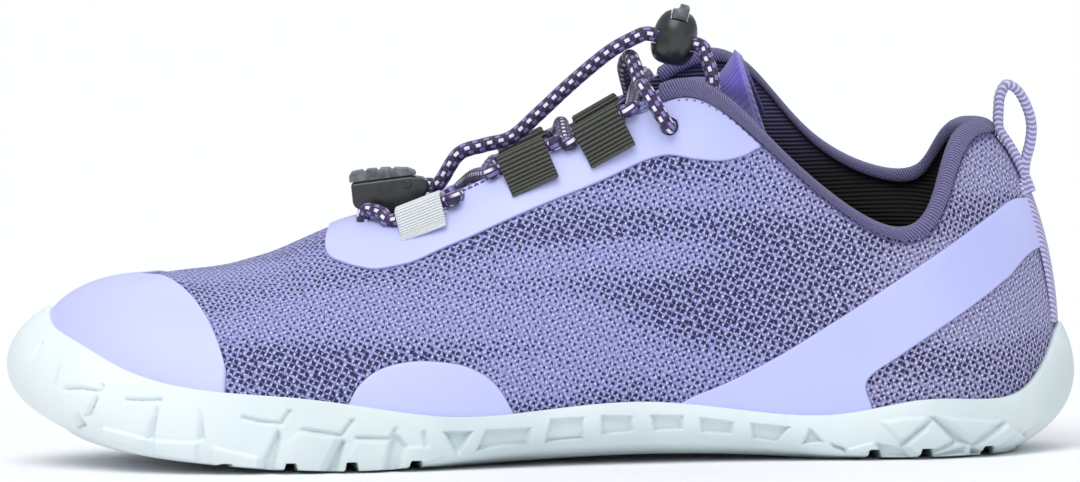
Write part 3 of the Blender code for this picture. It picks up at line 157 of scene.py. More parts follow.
def beside(k):
    """The direction out of the foot's outline, level with the floor."""
    along = (ring(k + 0.05) - ring(k - 0.05))[:, :2]
    return unit(np.stack([along[:, 1], -along[:, 0]], 1))


def curve_of(a, b, c, d, t):
    """Points on a cubic curve from a to d."""
    t = np.asarray(t, float).reshape(-1, 1)
    return (1 - t) ** 3 * a + 3 * t * (1 - t) ** 2 * b + 3 * t ** 2 * (1 - t) * c + t ** 3 * d


def last(k, v):
    """Points on the form: v runs from 0 at the sole to 1 at the top."""
    k, v = matched(k, v)
    here, other = ring(k), ring(-k)
    shared = (level(k) <= THROAT)[:, None]
    top = np.where(shared, (here[:, 2:5] + other[:, 2:5]) / 2, here[:, 2:5])
    foot = np.stack([here[:, 0], here[:, 1], here[:, 9]], 1)
    tall = (top[:, 2] - foot[:, 2])[:, None]
    first, second = foot.copy(), top.copy()
    first[:, :2] += here[:, 6:7] * tall * beside(k)
    first[:, 2:] += here[:, 5:6] * tall
    second[:, :2] += here[:, 8:9] * (foot - top)[:, :2]
    second[:, 2:] -= here[:, 7:8] * tall
    return curve_of(foot, first, second, top, v)


def outward(k, v):
    """Unit normals of the form."""
    k, v = matched(k, v)
    step = 0.02
    inside = np.minimum(v, 1 - step)
    across = last(k + step, inside) - last(k - step, inside)
    upward = last(k, np.minimum(v + step, 1)) - last(k, np.maximum(v - step, 0))
    return unit(np.cross(across, upward))


def skin(k, v, offset=0.0):
    """Points at a distance outside the form; both sides share the ridge of the vamp."""
    k, v, offset = matched(k, v, offset)
    normal = outward(k, v)
    both = unit(normal + outward(-k, v))
    ridge = ((level(k) <= THROAT + 1e-6) & (v > 0.999))[:, None]
    normal = np.where(ridge, both, normal)
    return last(k, v) + offset[:, None] * normal


def at_height(k, z):
    """The share v at which the form reaches a height."""
    k = np.atleast_1d(np.asarray(k, float))
    low, high = np.zeros(len(k)), np.ones(len(k))
    for _ in range(24):
        middle = (low + high) / 2
        under = last(k, middle)[:, 2] < z
        low, high = np.where(under, middle, low), np.where(under, high, middle)
    return (low + high) / 2


def place(points):
    """Millimetres from the toe tip to metres about the middle of the shoe."""
    return (np.asarray(points, float) - [LENGTH / 2, 0, 0]) * MM


def lay(name, points, sizes, seam=0.02, slots=None):
    """A grid laid on points[row, column], with sizes as its UV map, both in millimetres.
    slots gives the material slot of each strip of faces between two rows."""
    rows, columns = points.shape[:2]
    bpy.ops.object.select_all(action="DESELECT")
    bpy.ops.mesh.primitive_grid_add(x_subdivisions=columns - 1, y_subdivisions=rows - 1, size=2)
    piece = bpy.context.object
    piece.name = piece.data.name = name
    mesh = piece.data
    flat = np.empty(len(mesh.vertices) * 3)
    mesh.vertices.foreach_get("co", flat)
    flat = flat.reshape(-1, 3)
    column = np.rint((flat[:, 0] + 1) / 2 * (columns - 1)).astype(int)
    row = np.rint((flat[:, 1] + 1) / 2 * (rows - 1)).astype(int)
    mesh.vertices.foreach_set("co", place(points[row, column]).ravel())
    corners = np.empty(len(mesh.loops), int)
    mesh.loops.foreach_get("vertex_index", corners)
    mesh.uv_layers[0].data.foreach_set("uv", sizes[row, column][corners].ravel())
    if slots is not None:
        first = np.empty(len(mesh.polygons), int)
        mesh.polygons.foreach_get("loop_start", first)
        strips = np.minimum(row[corners[first]], rows - 2)
        mesh.polygons.foreach_set("material_index", np.asarray(slots)[strips])
    mesh.shade_smooth()
    mesh.update()
    if seam:
        bpy.ops.object.mode_set(mode="EDIT")
        bpy.ops.mesh.select_all(action="SELECT")
        bpy.ops.mesh.remove_doubles(threshold=seam * MM)
        bpy.ops.mesh.dissolve_degenerate(threshold=seam * MM / 4)
        bpy.ops.object.mode_set(mode="OBJECT")
    return piece


def linear(code):
    """An sRGB hex colour as the linear colour that a shader takes."""
    parts = [int(code[i:i + 2], 16) / 255 for i in (1, 3, 5)]
    return (*[c / 12.92 if c <= 0.04045 else ((c + 0.055) / 1.055) ** 2.4 for c in parts], 1.0)


# How the nodes of these materials are set, where a call says nothing else.
USUAL = {"MapRange": {"interpolation_type": "SMOOTHSTEP"}, "Mix": {"data_type": "RGBA"}}


def put(kind, *values, named=None, out=None, **settings):
    """Adds a node with its settings to the material in hand. Its inputs are values, hex colours
    or other nodes' outputs, in order or by name; it gives its first output, or the one named."""
    node = tree.nodes.new("ShaderNode" + kind)
    for name, value in {**USUAL.get(kind, {}), **settings}.items():
        setattr(node, name, value)
    inputs = list(zip([socket for socket in node.inputs if socket.enabled], values))
    inputs += [(node.inputs[name], value) for name, value in (named or {}).items()]
    for socket, value in inputs:
        if isinstance(value, bpy.types.NodeSocket):
            tree.links.new(value, socket)
        else:
            socket.default_value = linear(value) if isinstance(value, str) else value
    return node.outputs[out] if out else [s for s in node.outputs if s.enabled][0]


def new_material(name, roughness, **sockets):
    """A material with its Principled shader's constant values set."""
    material = bpy.data.materials.new(name)
    material.use_nodes = True
    shader = material.node_tree.nodes["Principled BSDF"]
    shader.inputs["Roughness"].default_value = roughness
    for socket, value in sockets.items():
        shader.inputs[socket.replace("_", " ")].default_value = value
    return material, material.node_tree, shader


def cover(colour, height, depth, strength):
    """Gives the shader in hand its colour, and its relief with the depth in millimetres."""
    tree.links.new(colour, shader.inputs["Base Color"])
    bump = put("Bump", named={"Height": height, "Distance": depth * MM, "Strength": strength})
    tree.links.new(bump, shader.inputs["Normal"])


def rib(across, pitch, wave="SINE"):
    """Ribs in a cloth, from -1 to 1, at a pitch in millimetres."""
    turn = put("Math", across, 2 * math.pi / pitch, operation="MULTIPLY")
    return put("Math", turn, operation=wave)


def dress(piece, material, slot, *nodes, body="root"):
    """Gives a piece its finish, and puts it in the place of the solids it stands for."""
    if not piece.data.materials:
        piece.data.materials.append(material)
    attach(piece, body)
    if nodes:
        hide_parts(*nodes)
    piece.select_set(False)


# The mesh is polyester yarn knitted with open holes in slanted rows, a hole every 2.1 mm; the
# rows were read as a square lattice of 1.55 mm turned by 27 degrees, each second hole wider.
HOLE_ROWS = 1.55
HOLE_TURN = math.radians(27)
# Behind HEEL_KNIT the knit's painted highlights are lighter.
HEEL_KNIT = 196.0       # x where the knit gets closer and shinier
BAND_TURN = math.radians(-52)
YARN_TURN = math.radians(40)
MESH_KNIT, tree, shader = new_material("polyester_mesh_knit", 0.72, Sheen_Weight=0.25,
                                       Sheen_Roughness=0.4)
shader.inputs["Sheen Tint"].default_value = linear("#c9c8f5")
cloth = put("TexCoord", out="UV")
back = put("MapRange", put("SeparateXYZ", cloth, out="X"), HEEL_KNIT - 25, HEEL_KNIT + 25)
lattice = put("Mapping", cloth, (0, 0, 0.5), (0, 0, HOLE_TURN), [1 / HOLE_ROWS] * 3)
holes = put("TexVoronoi", lattice, 1.0, named={"Randomness": 0.32}, voronoi_dimensions="2D",
            distance="CHEBYCHEV")
second = put("TexChecker", lattice, named={"Scale": 1.0}, out="Fac")
slant = put("Mapping", cloth, (0, 0, 0), (0, 0, BAND_TURN), (0.012, 0.05, 1))
bands = put("MapRange", put("TexNoise", slant, 1.0, 1.5), 0.40, 0.62, 0.06, 0.24)
open_share = put("Math", back, -0.03, bands, operation="MULTIPLY_ADD")
radius = put("Math", second, 0.08, open_share, operation="MULTIPLY_ADD")
yarn_lay = put("Mapping", cloth, (0, 0, 0), (0, 0, YARN_TURN), (2.6, 1.1, 1))
yarn = put("TexNoise", yarn_lay, 1.0, 2.0, 0.6)
# The stitches are uneven, which breaks the outline of the holes.
uneven = put("Math", yarn, 0.5, operation="SUBTRACT")
holes = put("Math", uneven, 0.35, holes, operation="MULTIPLY_ADD")
from_hole = put("Math", holes, radius, operation="SUBTRACT")
dark = put("MapRange", from_hole, -0.05, 0.07, 1.0, 0.0)
# Between the holes the loops of yarn carry a painted highlight, stronger on one side of each hole.
loops = []
for shift, size in (((0.46, 0.06, 0), 0.30), ((-0.04, 0.48, 0), 0.24)):
    beside_hole = put("VectorMath", lattice, shift, operation="ADD")
    spot = put("TexVoronoi", beside_hole, 1.0, named={"Randomness": 0.24},
               voronoi_dimensions="2D")
    loops.append(put("MapRange", spot, 0.08, size, 1.0, 0.0))
loop_highlight_mask = put("Math", put("Math", loops[1], 0.6, loops[0], operation="MULTIPLY_ADD"),
                 put("MapRange", yarn, 0.34, 0.62, 0.35, 1.0), operation="MULTIPLY")
painted_highlight_colour = put("Mix", back, "#d8defb", "#e6e6f9")
# The yarn is mixed towards the same painted highlight colour where its noise is high.
strands = put("Mix", put("MapRange", yarn, 0.36, 0.66, 0.0, 0.42),
              put("Mix", back, "#676ab1", "#64629e"), painted_highlight_colour)
strands = put("Mix", put("Math", loop_highlight_mask, 1.0, operation="MINIMUM"), strands, painted_highlight_colour)
shaded = put("Mix", put("MapRange", from_hole, 0.0, 0.16), "#454288", strands)
relief = put("Math", yarn, 0.4, operation="MULTIPLY")
relief = put("Math", loop_highlight_mask, 0.4, relief, operation="MULTIPLY_ADD")
knitted = put("Math", 1.0, dark, operation="SUBTRACT")
relief = put("Math", knitted, 0.6, relief, operation="MULTIPLY_ADD")
cover(put("Mix", dark, shaded, "#1c1a45"), relief, 0.35, 0.9)

# The lining is a dark grey close knit with a rib every 1 mm; down in the shoe it is painted near
# black, as painted shade.
LINING, tree, shader = new_material("ribbed_lining_knit", 0.9)
cloth = put("TexCoord", out="UV")
ribs = rib(put("SeparateXYZ", cloth, out="Y"), 1.0)
fuzzy = put("Math", ribs, put("TexNoise", cloth, 1.6, 2.0), operation="ADD")
ribbed = put("Mix", put("MapRange", fuzzy, -0.6, 1.5), "#232036", "#57527c")
height = put("SeparateXYZ", put("TexCoord", out="Object"), out="Z")
cover(put("Mix", put("MapRange", height, 0.064, 0.086), "#060608", ribbed), ribs, 0.25, 0.7)

# Creases pressed in by walking: two ends in the side view, depth and half width.
Crease = namedtuple("Crease", "x z end_x end_z depth width")
CREASES = [Crease(66, 54, 74, 38, 1.1, 3.2), Crease(59, 52, 62, 36, -0.5, 3.5),
           Crease(83, 52, 80, 33, 0.55, 4.0), Crease(90, 47, 98, 33, -0.35, 5.0),
           Crease(232, 48, 246, 30, 0.35, 4.5), Crease(196, 60, 226, 44, 0.3, 5.0)]
WALK_SWELL = 0.16       # long low waves of a soft upper


def crumple(points):
    """How far the soft upper stands in (-) or out of its form at these places."""
    x, z = points[:, 0], points[:, 2]
    swell = WALK_SWELL * (np.sin(x / 11.0 + z / 7.0) + np.sin(x / 6.3 - z / 9.0 + 1.0))
    for c in CREASES:
        run = np.array([c.end_x - c.x, c.end_z - c.z])
        t = np.clip(((x - c.x) * run[0] + (z - c.z) * run[1]) / run.dot(run), 0, 1)
        apart = np.hypot(x - c.x - t * run[0], z - c.z - t * run[1])
        swell = swell - c.depth * np.exp(-(apart / c.width) ** 2) * np.sin(math.pi * t) ** 0.5
    return swell


def fabric(k, v, offset=0.0):
    """Points on the soft upper, at a distance outside it; its edges stay on the form."""
    k, v, offset = matched(k, v, offset)
    calm = np.clip((1 - v) / 0.15, 0, 1) * np.clip(v / 0.2, 0, 1)
    return skin(k, v, offset + crumple(last(k, v)) * calm)


def even_sections(count, first=0.0, end=LAST, height=0.5):
    """Sections at even distances along one side of the shoe."""
    fine = np.linspace(first, end, 1500)
    run = run_along(last(fine, height))
    return np.interp(np.linspace(0, run[-1], count), run, fine)


def side_run(points, levels):
    """How far back each column lies: by x on the sides, and round the heel's curve."""
    step = np.diff(points, axis=1)
    along = np.where(levels[1:] <= 12, step[:, :, 0], np.hypot(step[:, :, 0], step[:, :, 1]))
    return points[:, :1, 0] + np.pad(np.cumsum(along, axis=1), ((0, 0), (1, 0)))


def spread(points, levels):
    """The cloth's own measures: back from the toe, and up along the wall from the floor."""
    middle = np.argmin(np.abs(levels))
    medial = side_run(points[:, middle::-1], -levels[middle::-1])[:, ::-1]
    back_run = np.concatenate([medial, side_run(points[:, middle:], levels[middle:])[:, 1:]], 1)
    rise = np.linalg.norm(np.diff(points[:, :, 1:], axis=0), axis=2)
    up = points[:1, :, 2] + np.pad(np.cumsum(rise, axis=0), ((1, 0), (0, 0)))
    return np.stack([back_run, up], 2)


def clear_inside(fill=False):
    """Takes out the faces inside the newest piece, and fills the holes that this may leave."""
    bpy.ops.object.mode_set(mode="EDIT")
    bpy.ops.mesh.select_mode(type="FACE")
    bpy.ops.mesh.select_all(action="DESELECT")
    bpy.ops.mesh.select_interior_faces()
    bpy.ops.mesh.delete(type="FACE")
    bpy.ops.mesh.select_mode(type="VERT")
    if fill:
        bpy.ops.mesh.select_all(action="SELECT")
        bpy.ops.mesh.fill_holes(sides=0)
    bpy.ops.object.mode_set(mode="OBJECT")


side_ks = even_sections(185)
side_ks[np.argmin(np.abs(side_ks - THROAT))] = THROAT
upper_ks = np.concatenate([-side_ks[::-1], side_ks[1:]])
upper_vs = np.linspace(0, 1, 53)
grid_k, grid_v = np.meshgrid(upper_ks, upper_vs)
surface = fabric(grid_k, grid_v).reshape(*grid_k.shape, 3)
ankle = np.clip((level(grid_k) - 11.0) / 2.0, 0, 1) * np.clip((grid_v - 0.45) / 0.35, 0, 1)
ankle = ankle * np.clip((0.94 - grid_v) / 0.12, 0, 1)
inner = skin(grid_k, grid_v, -(UPPER_WALL + HEEL_PADDING * ankle)).reshape(*grid_k.shape, 3)
measures = spread(surface, upper_ks)
strips = [0] * len(upper_vs) + [1] * (len(upper_vs) - 1) + [0]
upper = lay("upper_knit", np.concatenate([surface, inner[::-1], surface[:1]], 0),
            np.concatenate([measures, measures[::-1], measures[:1]], 0), slots=strips)
clear_inside()
upper.data.materials.append(MESH_KNIT)
upper.data.materials.append(LINING)
dress(upper, MESH_KNIT, "upper_knit", "upper")

# Overlays: soft film, cut to shape and bonded hot on the knit, so its rim melts into the yarn.
# Their edges are drawn in the side view: x as a share of LENGTH, z of INSTEP_HEIGHT.
Edge = namedtuple("Edge", "x z")
FILM_TOP = 0.75         # height of the film on the knit
FILM_ROUND = 0.7        # width of its melted rim
FILM_FOOT = 0.06        # its height at the rim
FILM_SINK = 0.3         # how far its back lies in the knit
UNDER_RIM = -0.8        # the films' lower edges, under the sole's rim
ON_SKIN = (1.0, 4.0)    # a step in v is about four times as long as a step in k
FILM, tree, shader = new_material("bonded_polyurethane_film", 0.42, Specular_IOR_Level=0.4)
place_of = put("TexCoord", out="Object")
grain = put("TexNoise", place_of, 900.0, 3.0)
cloudy = put("MapRange", put("TexNoise", place_of, 28.0, 1.0), 0.3, 0.7, 0.0, 0.35)
front = put("MapRange", put("SeparateXYZ", place_of, out="X"), -0.115, 0.10)
# A thin darker line along each film's edge is painted shade where the film steps down onto the
# knit.
rim = put("SeparateXYZ", put("TexCoord", out="UV"), out="Y")
film_colour = put("Mix", cloudy, put("Mix", front, "#c8cdf9", "#bec4f8"), "#cdd3fe")
cover(put("Mix", put("MapRange", rim, 0.08, 0.42), "#a09fd4", film_colour), grain, 0.06, 0.35)


def smooth_path(points, shares, weights=1.0):
    """Points at shares of the length of a smooth curve through the given ones."""
    points = np.array(points, float)
    ends = np.vstack([2 * points[0] - points[1], points, 2 * points[-1] - points[-2]])
    t = np.linspace(0, 1, 16, endpoint=False)[:, None]
    fine = [0.5 * (2 * b + (c - a) * t + (2 * a - 5 * b + 4 * c - d) * t ** 2
                   + (3 * b - a - 3 * c + d) * t ** 3)
            for a, b, c, d in zip(ends, ends[1:], ends[2:], ends[3:])]
    fine = np.vstack([*fine, points[-1:]])
    run = run_along(fine, weights)
    want = np.linspace(0, 1, shares) if np.isscalar(shares) else shares
    return np.stack([np.interp(want * run[-1], run, column) for column in fine.T], 1)


def trace(points, side):
    """The (k, v) of side-view points on the lateral (-1) or medial (+1) side."""
    ks, vs = [a.ravel() for a in np.meshgrid(np.linspace(0.0, LAST, 65),
                                             np.linspace(0.02, 1.0, 25))]
    places = last(ks * -side, vs)
    found = []
    for x, z in points:
        nearest = np.argmin((places[:, 0] - x) ** 2 + (places[:, 2] - z) ** 2)
        k, v = ks[nearest], vs[nearest]
        for _ in range(8):
            p = last([k * -side, (k + 0.01) * -side, k * -side], [v, v, max(v - 0.01, 0.0)])
            slope = np.array([[p[1, 0] - p[0, 0], p[0, 0] - p[2, 0]],
                              [p[1, 2] - p[0, 2], p[0, 2] - p[2, 2]]]) / 0.01
            move = np.linalg.lstsq(slope, np.array([x - p[0, 0], z - p[0, 2]]), rcond=1e-3)[0]
            k = float(np.clip(k + np.clip(move[0], -0.5, 0.5), 0.0, LAST))
            v = float(np.clip(v + np.clip(move[1], -0.2, 0.2), 0.0, 1.0))
        found.append((k * -side, v))
    return np.array(found)


def drawn(edges, side):
    return trace([(e.x * LENGTH, e.z * INSTEP_HEIGHT) for e in edges], side)


def rim_edge(k, above=0.3):
    """The (k, v) of points just above the sole's rim."""
    k = np.atleast_1d(np.asarray(k, float))
    return np.stack([k, at_height(k, ring(k)[:, 10] + above)], 1)


def crowded(count):
    """Shares from 0 to 1 that lie closer towards both ends."""
    return (1 - np.cos(np.linspace(0, math.pi, count))) / 2


def film(name, grid, *nodes):
    """A film laid on the knit over a grid of (k, v), thin at its edges and closed below."""
    rows, columns = grid.shape[:2]
    base = fabric(grid[:, :, 0], grid[:, :, 1]).reshape(rows, columns, 3)
    up = np.linalg.norm(np.diff(base, axis=0), axis=2)
    up = np.pad(np.cumsum(up, axis=0), ((1, 0), (0, 0)))
    along = np.linalg.norm(np.diff(base, axis=1), axis=2)
    along = np.pad(np.cumsum(along, axis=1), ((0, 0), (1, 0)))
    on_ridge = (level(grid[-1, :, 0]) <= THROAT + 0.01) & (grid[-1, :, 1] > 0.999)
    from_top = np.where(on_ridge, 99.0, up[-1] - up)
    inside = np.minimum.reduce([up, from_top, along, along[:, -1:] - along])
    rise = np.sqrt(1 - (1 - np.clip(inside / FILM_ROUND, 0, 1)) ** 2)
    top, under = (fabric(grid[:, :, 0], grid[:, :, 1], FILM_FOOT + out).reshape(base.shape)
                  for out in ((FILM_TOP - FILM_FOOT) * rise, -FILM_SINK * np.clip(inside, 0, 1)))
    sizes = np.stack([base[:, :, 0], inside], 2)
    piece = lay(name, np.concatenate([top, under[::-1]], 0),
                np.concatenate([sizes, sizes[::-1]], 0), 0.015)
    dress(piece, FILM, "overlay_film", *nodes)
    return piece


def between(low, high, columns, rows):
    """A grid of (k, v) between two drawn edges."""
    low = smooth_path(low, crowded(columns), ON_SKIN)
    high = smooth_path(high, crowded(columns), ON_SKIN)
    return np.array([low + (high - low) * t for t in crowded(rows)])


# Toe cap: the same film over the toe box as a guard, bonded hot on the knit. From above its edge
# is a bow; its foot goes down behind the sole's rim.
CAP_FRONT, CAP_SIDE = 0.125, 0.216      # shares of LENGTH, on the ridge and at the sides
CAP_BOW = 0.9                           # power of the bow between them


def cap_edge(k):
    """The share v at which the toe cap ends in each section."""
    k = np.atleast_1d(np.asarray(k, float))
    ridge = last(0.0, 1.0)[0, 1]
    low, high = rim_edge(k)[:, 1], np.ones(len(k))
    for _ in range(20):
        middle = (low + high) / 2
        p = last(k, middle)
        bow = (np.abs(p[:, 1] - ridge) / (BALL_WIDTH / 2)) ** CAP_BOW
        inside = p[:, 0] < LENGTH * (CAP_FRONT + (CAP_SIDE - CAP_FRONT) * bow)
        low, high = np.where(inside, middle, low), np.where(inside, high, middle)
    return np.stack([k, (low + high) / 2], 1)


cap_ks = np.linspace(4.6, -4.6, 185)
cap_ks = cap_ks[cap_edge(cap_ks)[:, 1] > rim_edge(cap_ks)[:, 1] + 0.01]
cap_ks = cap_ks[0] + (cap_ks[-1] - cap_ks[0]) * (0.75 * np.linspace(0, 1, 181)
                                                 + 0.25 * crowded(181))
cap_low, cap_high = rim_edge(cap_ks, UNDER_RIM), cap_edge(cap_ks)
film("toe_cap_film", np.array([cap_low + (cap_high - cap_low) * t for t in crowded(61)])[:, ::-1],
     "toe_cap")

# Side panels: low hills of the same film, bonded on over the joints of the little and the big
# toe. Their feet go down behind the sole's rim.
SIDES = {"lateral": -1, "medial": 1}
SIDE_PANEL = [Edge(0.322, 0.206), Edge(0.333, 0.232), Edge(0.354, 0.272), Edge(0.387, 0.288),
              Edge(0.420, 0.280), Edge(0.443, 0.257), Edge(0.460, 0.217), Edge(0.474, 0.168)]
for word, side in SIDES.items():
    high = drawn(SIDE_PANEL, side)
    low = rim_edge(np.linspace(high[0, 0], high[-1, 0], 8), UNDER_RIM)
    high[0], high[-1] = low[0] + [0, 0.012], low[-1] + [0, 0.012]
    panel = between(low, high, 71, 31)
    film(f"side_panel_film_{word}", panel if side < 0 else panel[:, ::-1], f"side_panel_{word}")

# Eyestay: one piece of the same film round the throat, which carries the lace loops. It runs
# from the collar forward, across the vamp and back, and its ends meet the binding.
EYESTAY = [Edge(0.296, 0.600), Edge(0.302, 0.570), Edge(0.317, 0.540), Edge(0.345, 0.522),
           Edge(0.375, 0.534), Edge(0.408, 0.570), Edge(0.445, 0.611), Edge(0.492, 0.667),
           Edge(0.540, 0.722), Edge(0.587, 0.780), Edge(0.618, 0.808), Edge(0.648, 0.797),
           Edge(0.672, 0.793), Edge(0.692, 0.806), Edge(0.706, 0.828)]
EYESTAY_FRONT = 5.5
BINDING_START = 9.7
BINDING_DEPTH = 3.6


def below_top(k, depth):
    """The share v that lies a distance below the upper's edge."""
    k = np.atleast_1d(np.asarray(k, float))
    return 1 - depth * 0.15 / np.linalg.norm(last(k, 1.0) - last(k, 0.85), axis=1)


halves = []
for side in (-1, 1):
    low = drawn(EYESTAY, side)
    low[0] = [-side * EYESTAY_FRONT, 1.0]
    top_k = even_sections(150, EYESTAY_FRONT, abs(low[-1, 0]) + 0.1, 0.97)
    stay = smooth_path(low, len(top_k), ON_SKIN)
    bound = np.clip((top_k - BINDING_START + 0.6) / 0.3, 0, 1)
    edge = 1 - bound * (1 - below_top(-side * top_k, BINDING_DEPTH + 0.1))
    high = np.stack([-side * top_k, edge], 1)
    halves.append(np.array([stay + (high - stay) * t for t in crowded(45)]))
stay_grid = np.concatenate([halves[1][:, ::-1], halves[0][:, 1:]], 1)
eyestay = film("eyestay_film", stay_grid, "eyestay")

# Heel bands: the same film, bonded on from the sole at the waist up to the tape at the back,
# one on each side, to hold the heel.
BAND_LOW = [Edge(0.807, 0.139), Edge(0.801, 0.195), Edge(0.808, 0.230), Edge(0.829, 0.269),
            Edge(0.876, 0.354), Edge(0.913, 0.421), Edge(0.946, 0.489)]
BAND_HIGH = [Edge(0.624, 0.160), Edge(0.672, 0.212), Edge(0.720, 0.280), Edge(0.768, 0.362),
             Edge(0.816, 0.447), Edge(0.865, 0.535), Edge(0.902, 0.601), Edge(0.940, 0.672)]
BAND_ENDS = (0.617, 0.770)
BACK_TAPE = 10.0        # width of the webbing down the back


def back_level(z, reach):
    """The section at which the back of the heel is a distance beside its middle."""
    ks = np.linspace(LAST - 1.6, LAST, 200)
    return np.interp(-reach, skin(ks, at_height(ks, np.full(200, z)))[:, 1], ks)


for word, side in SIDES.items():
    low, high = (drawn([Edge(*p) for p in smooth_path(edges, 26)], side)
                 for edges in (BAND_LOW, BAND_HIGH))
    low[0], high[0] = rim_edge(low[0, 0], UNDER_RIM)[0], rim_edge(high[0, 0], UNDER_RIM)[0]
    for edge, share in zip((low, high), BAND_ENDS):
        k = -side * back_level(share * HEEL_HEIGHT, BACK_TAPE / 2 - 0.6)
        edge[-1] = [k, at_height(k, share * HEEL_HEIGHT)[0]]
    band = between(low, high, 121, 41)
    # Its foot follows the sole's rim.
    lift = rim_edge(band[:, 0, 0], UNDER_RIM)[:, 1] - band[:, 0, 1]
    band[:, :, 1] += lift[:, None] * (1 - np.linspace(0, 1, 121)) ** 4
    film(f"heel_band_film_{word}", band if side < 0 else band[:, ::-1], f"heel_band_{word}")

# Sole: one moulded cup of pale rubber; slanted lugs, steps and windows are moulded in its side,
# and grooves part the lugs of its tread. The same shapes stand on both sides.
RUBBER, tree, shader = new_material("moulded_pale_rubber", 0.46, Specular_IOR_Level=0.35)
place_of = put("TexCoord", out="Object")
mottle = put("MapRange", put("TexNoise", place_of, 35.0, 3.0), 0.3, 0.7)
# The rubber behind the toe is painted darker, as painted shade; the toe keeps its lighter colour.
toe = put("MapRange", put("SeparateXYZ", place_of, out="X"), -0.10, -0.04)
cover(put("Mix", mottle, put("Mix", toe, "#e6f0f3", "#d0dee0"),
          put("Mix", toe, "#eef6f8", "#dee9ea")),
      put("TexNoise", place_of, 1400.0, 2.0), 0.05, 0.25)
CLEARANCE = 0.3         # between pieces that don't touch
RIM_WALL = 1.5
RIM_DROP = 0.25
LUG_DEPTH = 2.8
LUG_GAP = 3.2
GROOVE_TURN = 0.12
GROOVES = [0.137, 0.188, 0.247, 0.303, 0.363, 0.792, 0.840, 0.901]
# Shapes in the side view, by their corners (x, z) in millimetres: height out of the side (or
# depth into it, below zero) and the width of their slope.
Relief = namedtuple("Relief", "height slope corners")
SIDE_RELIEFS = [Relief(*row) for row in (
    (-0.7, 0.5, [(9.0, 31.4), (9.7, 31.0), (7.2, 26.8), (6.2, 27.3)]),
    (-0.9, 0.6, [(14.2, 26.8), (14.0, 25.3), (12.7, 20.6), (11.4, 21.0)]),
    (-1.3, 0.7, [(23.4, 19.4), (23.8, 18.4), (21.6, 13.5), (19.7, 13.9)]),
    (-2.0, 0.7, [(18.6, 14.6), (17.3, 13.7), (18.1, 10.2), (20.6, 11.4), (19.7, 13.0)]),
    (-1.4, 0.7, [(38.3, 17.2), (38.8, 16.5), (37.4, 8.3), (35.0, 8.7)]),
    (-1.3, 0.6, [(48.9, 16.1), (49.4, 16.1), (50.1, 8.3), (48.1, 8.4)]),
    (-1.5, 0.7, [(68.1, 11.5), (68.9, 9.0), (68.3, 6.8), (66.8, 0.5), (63.6, 0.5),
                 (64.2, 4.0)]),
    (-1.5, 0.7, [(83.3, 8.6), (84.6, 7.9), (82.1, 0.3), (78.9, 0.3)]),
    (-1.5, 0.7, [(96.5, 10.2), (99.4, 6.5), (98.2, 4.8), (97.2, 0.3), (93.6, 0.3),
                 (95.4, 7.7)]),
    (-1.7, 0.8, [(107.9, 9.8), (115.5, 9.7), (111.6, 3.4)]),
    (-1.5, 0.7, [(118.5, 9.9), (129.7, 10.1), (128.7, 5.4), (122.5, 5.5), (115.8, 4.6)]),
    (-1.5, 0.6, [(134.4, 12.1), (142.4, 12.3), (142.3, 6.7), (132.6, 6.0)]),
    (-1.5, 0.6, [(146.7, 12.6), (154.3, 12.2), (154.3, 8.1), (146.6, 7.5)]),
    (-1.5, 0.6, [(158.6, 12.4), (166.7, 12.0), (166.6, 8.3), (159.6, 8.2)]),
    (-1.5, 0.6, [(170.7, 11.5), (178.8, 10.2), (178.7, 7.0), (170.9, 7.5)]),
    (-1.5, 0.6, [(183.0, 9.9), (192.7, 8.7), (189.4, 4.6), (183.4, 5.8)]),
    (-1.5, 0.6, [(197.5, 8.4), (200.9, 4.7), (195.3, 4.2)]),
    (-1.4, 0.6, [(202.0, 4.9), (206.2, 3.4), (206.2, 2.0), (203.0, 3.2)]),
    (-1.4, 0.6, [(213.2, 4.6), (219.8, 3.1), (222.4, 0.5), (215.1, 0.9)]),
    (-1.5, 0.8, [(226.3, 10.7), (228.0, 10.7), (237.6, 3.3), (233.2, 3.7)]),
    (-1.4, 0.6, [(226.4, 0.9), (235.4, 3.1), (235.4, 1.3), (227.5, 0.5)]),
    (-2.5, 0.6, [(236.9, 3.0), (240.6, 0.8), (236.7, 0.4)]),
    (-1.3, 0.8, [(249.8, 5.3), (254.9, 7.6), (251.3, 3.8)]),
    (0.8, 0.5, [(24.8, 11.6), (36.0, 9.0), (35.8, 5.0), (24.6, 8.6)]),
    (0.8, 0.5, [(37.6, 8.6), (48.6, 8.2), (48.2, 3.0), (37.4, 4.6)]),
    (0.8, 0.5, [(51.8, 7.4), (63.5, 4.4), (63.2, 0.8), (51.2, 2.2)]),
    (0.55, 0.5, [(73.3, 10.4), (82.6, 8.9), (78.2, 0.5), (67.3, 0.9), (70.3, 8.1)]),
    (0.55, 0.5, [(87.1, 8.2), (95.3, 8.0), (93.3, 0.5), (82.6, 0.2), (83.9, 3.8)]),
    (0.55, 0.5, [(99.5, 6.3), (104.1, 6.6), (108.6, 3.3), (97.7, 0.6)]),
    (0.5, 0.5, [(206.6, 3.2), (212.8, 4.9), (215.6, 1.0), (206.3, 2.3)]),
    (0.65, 0.6, [(226.3, 8.0), (232.7, 4.2), (224.4, 0.5), (219.9, 3.4)]),
    (0.45, 0.8, [(228.2, 10.9), (245.0, 9.0), (237.6, 3.9)]),
    (0.45, 0.8, [(214.2, 9.8), (220.6, 10.7), (226.0, 10.7), (226.2, 9.4), (219.5, 4.2)]),
    (0.6, 0.6, [(245.9, 7.8), (250.1, 5.7), (240.7, 0.7), (238.0, 3.0)]),
)]
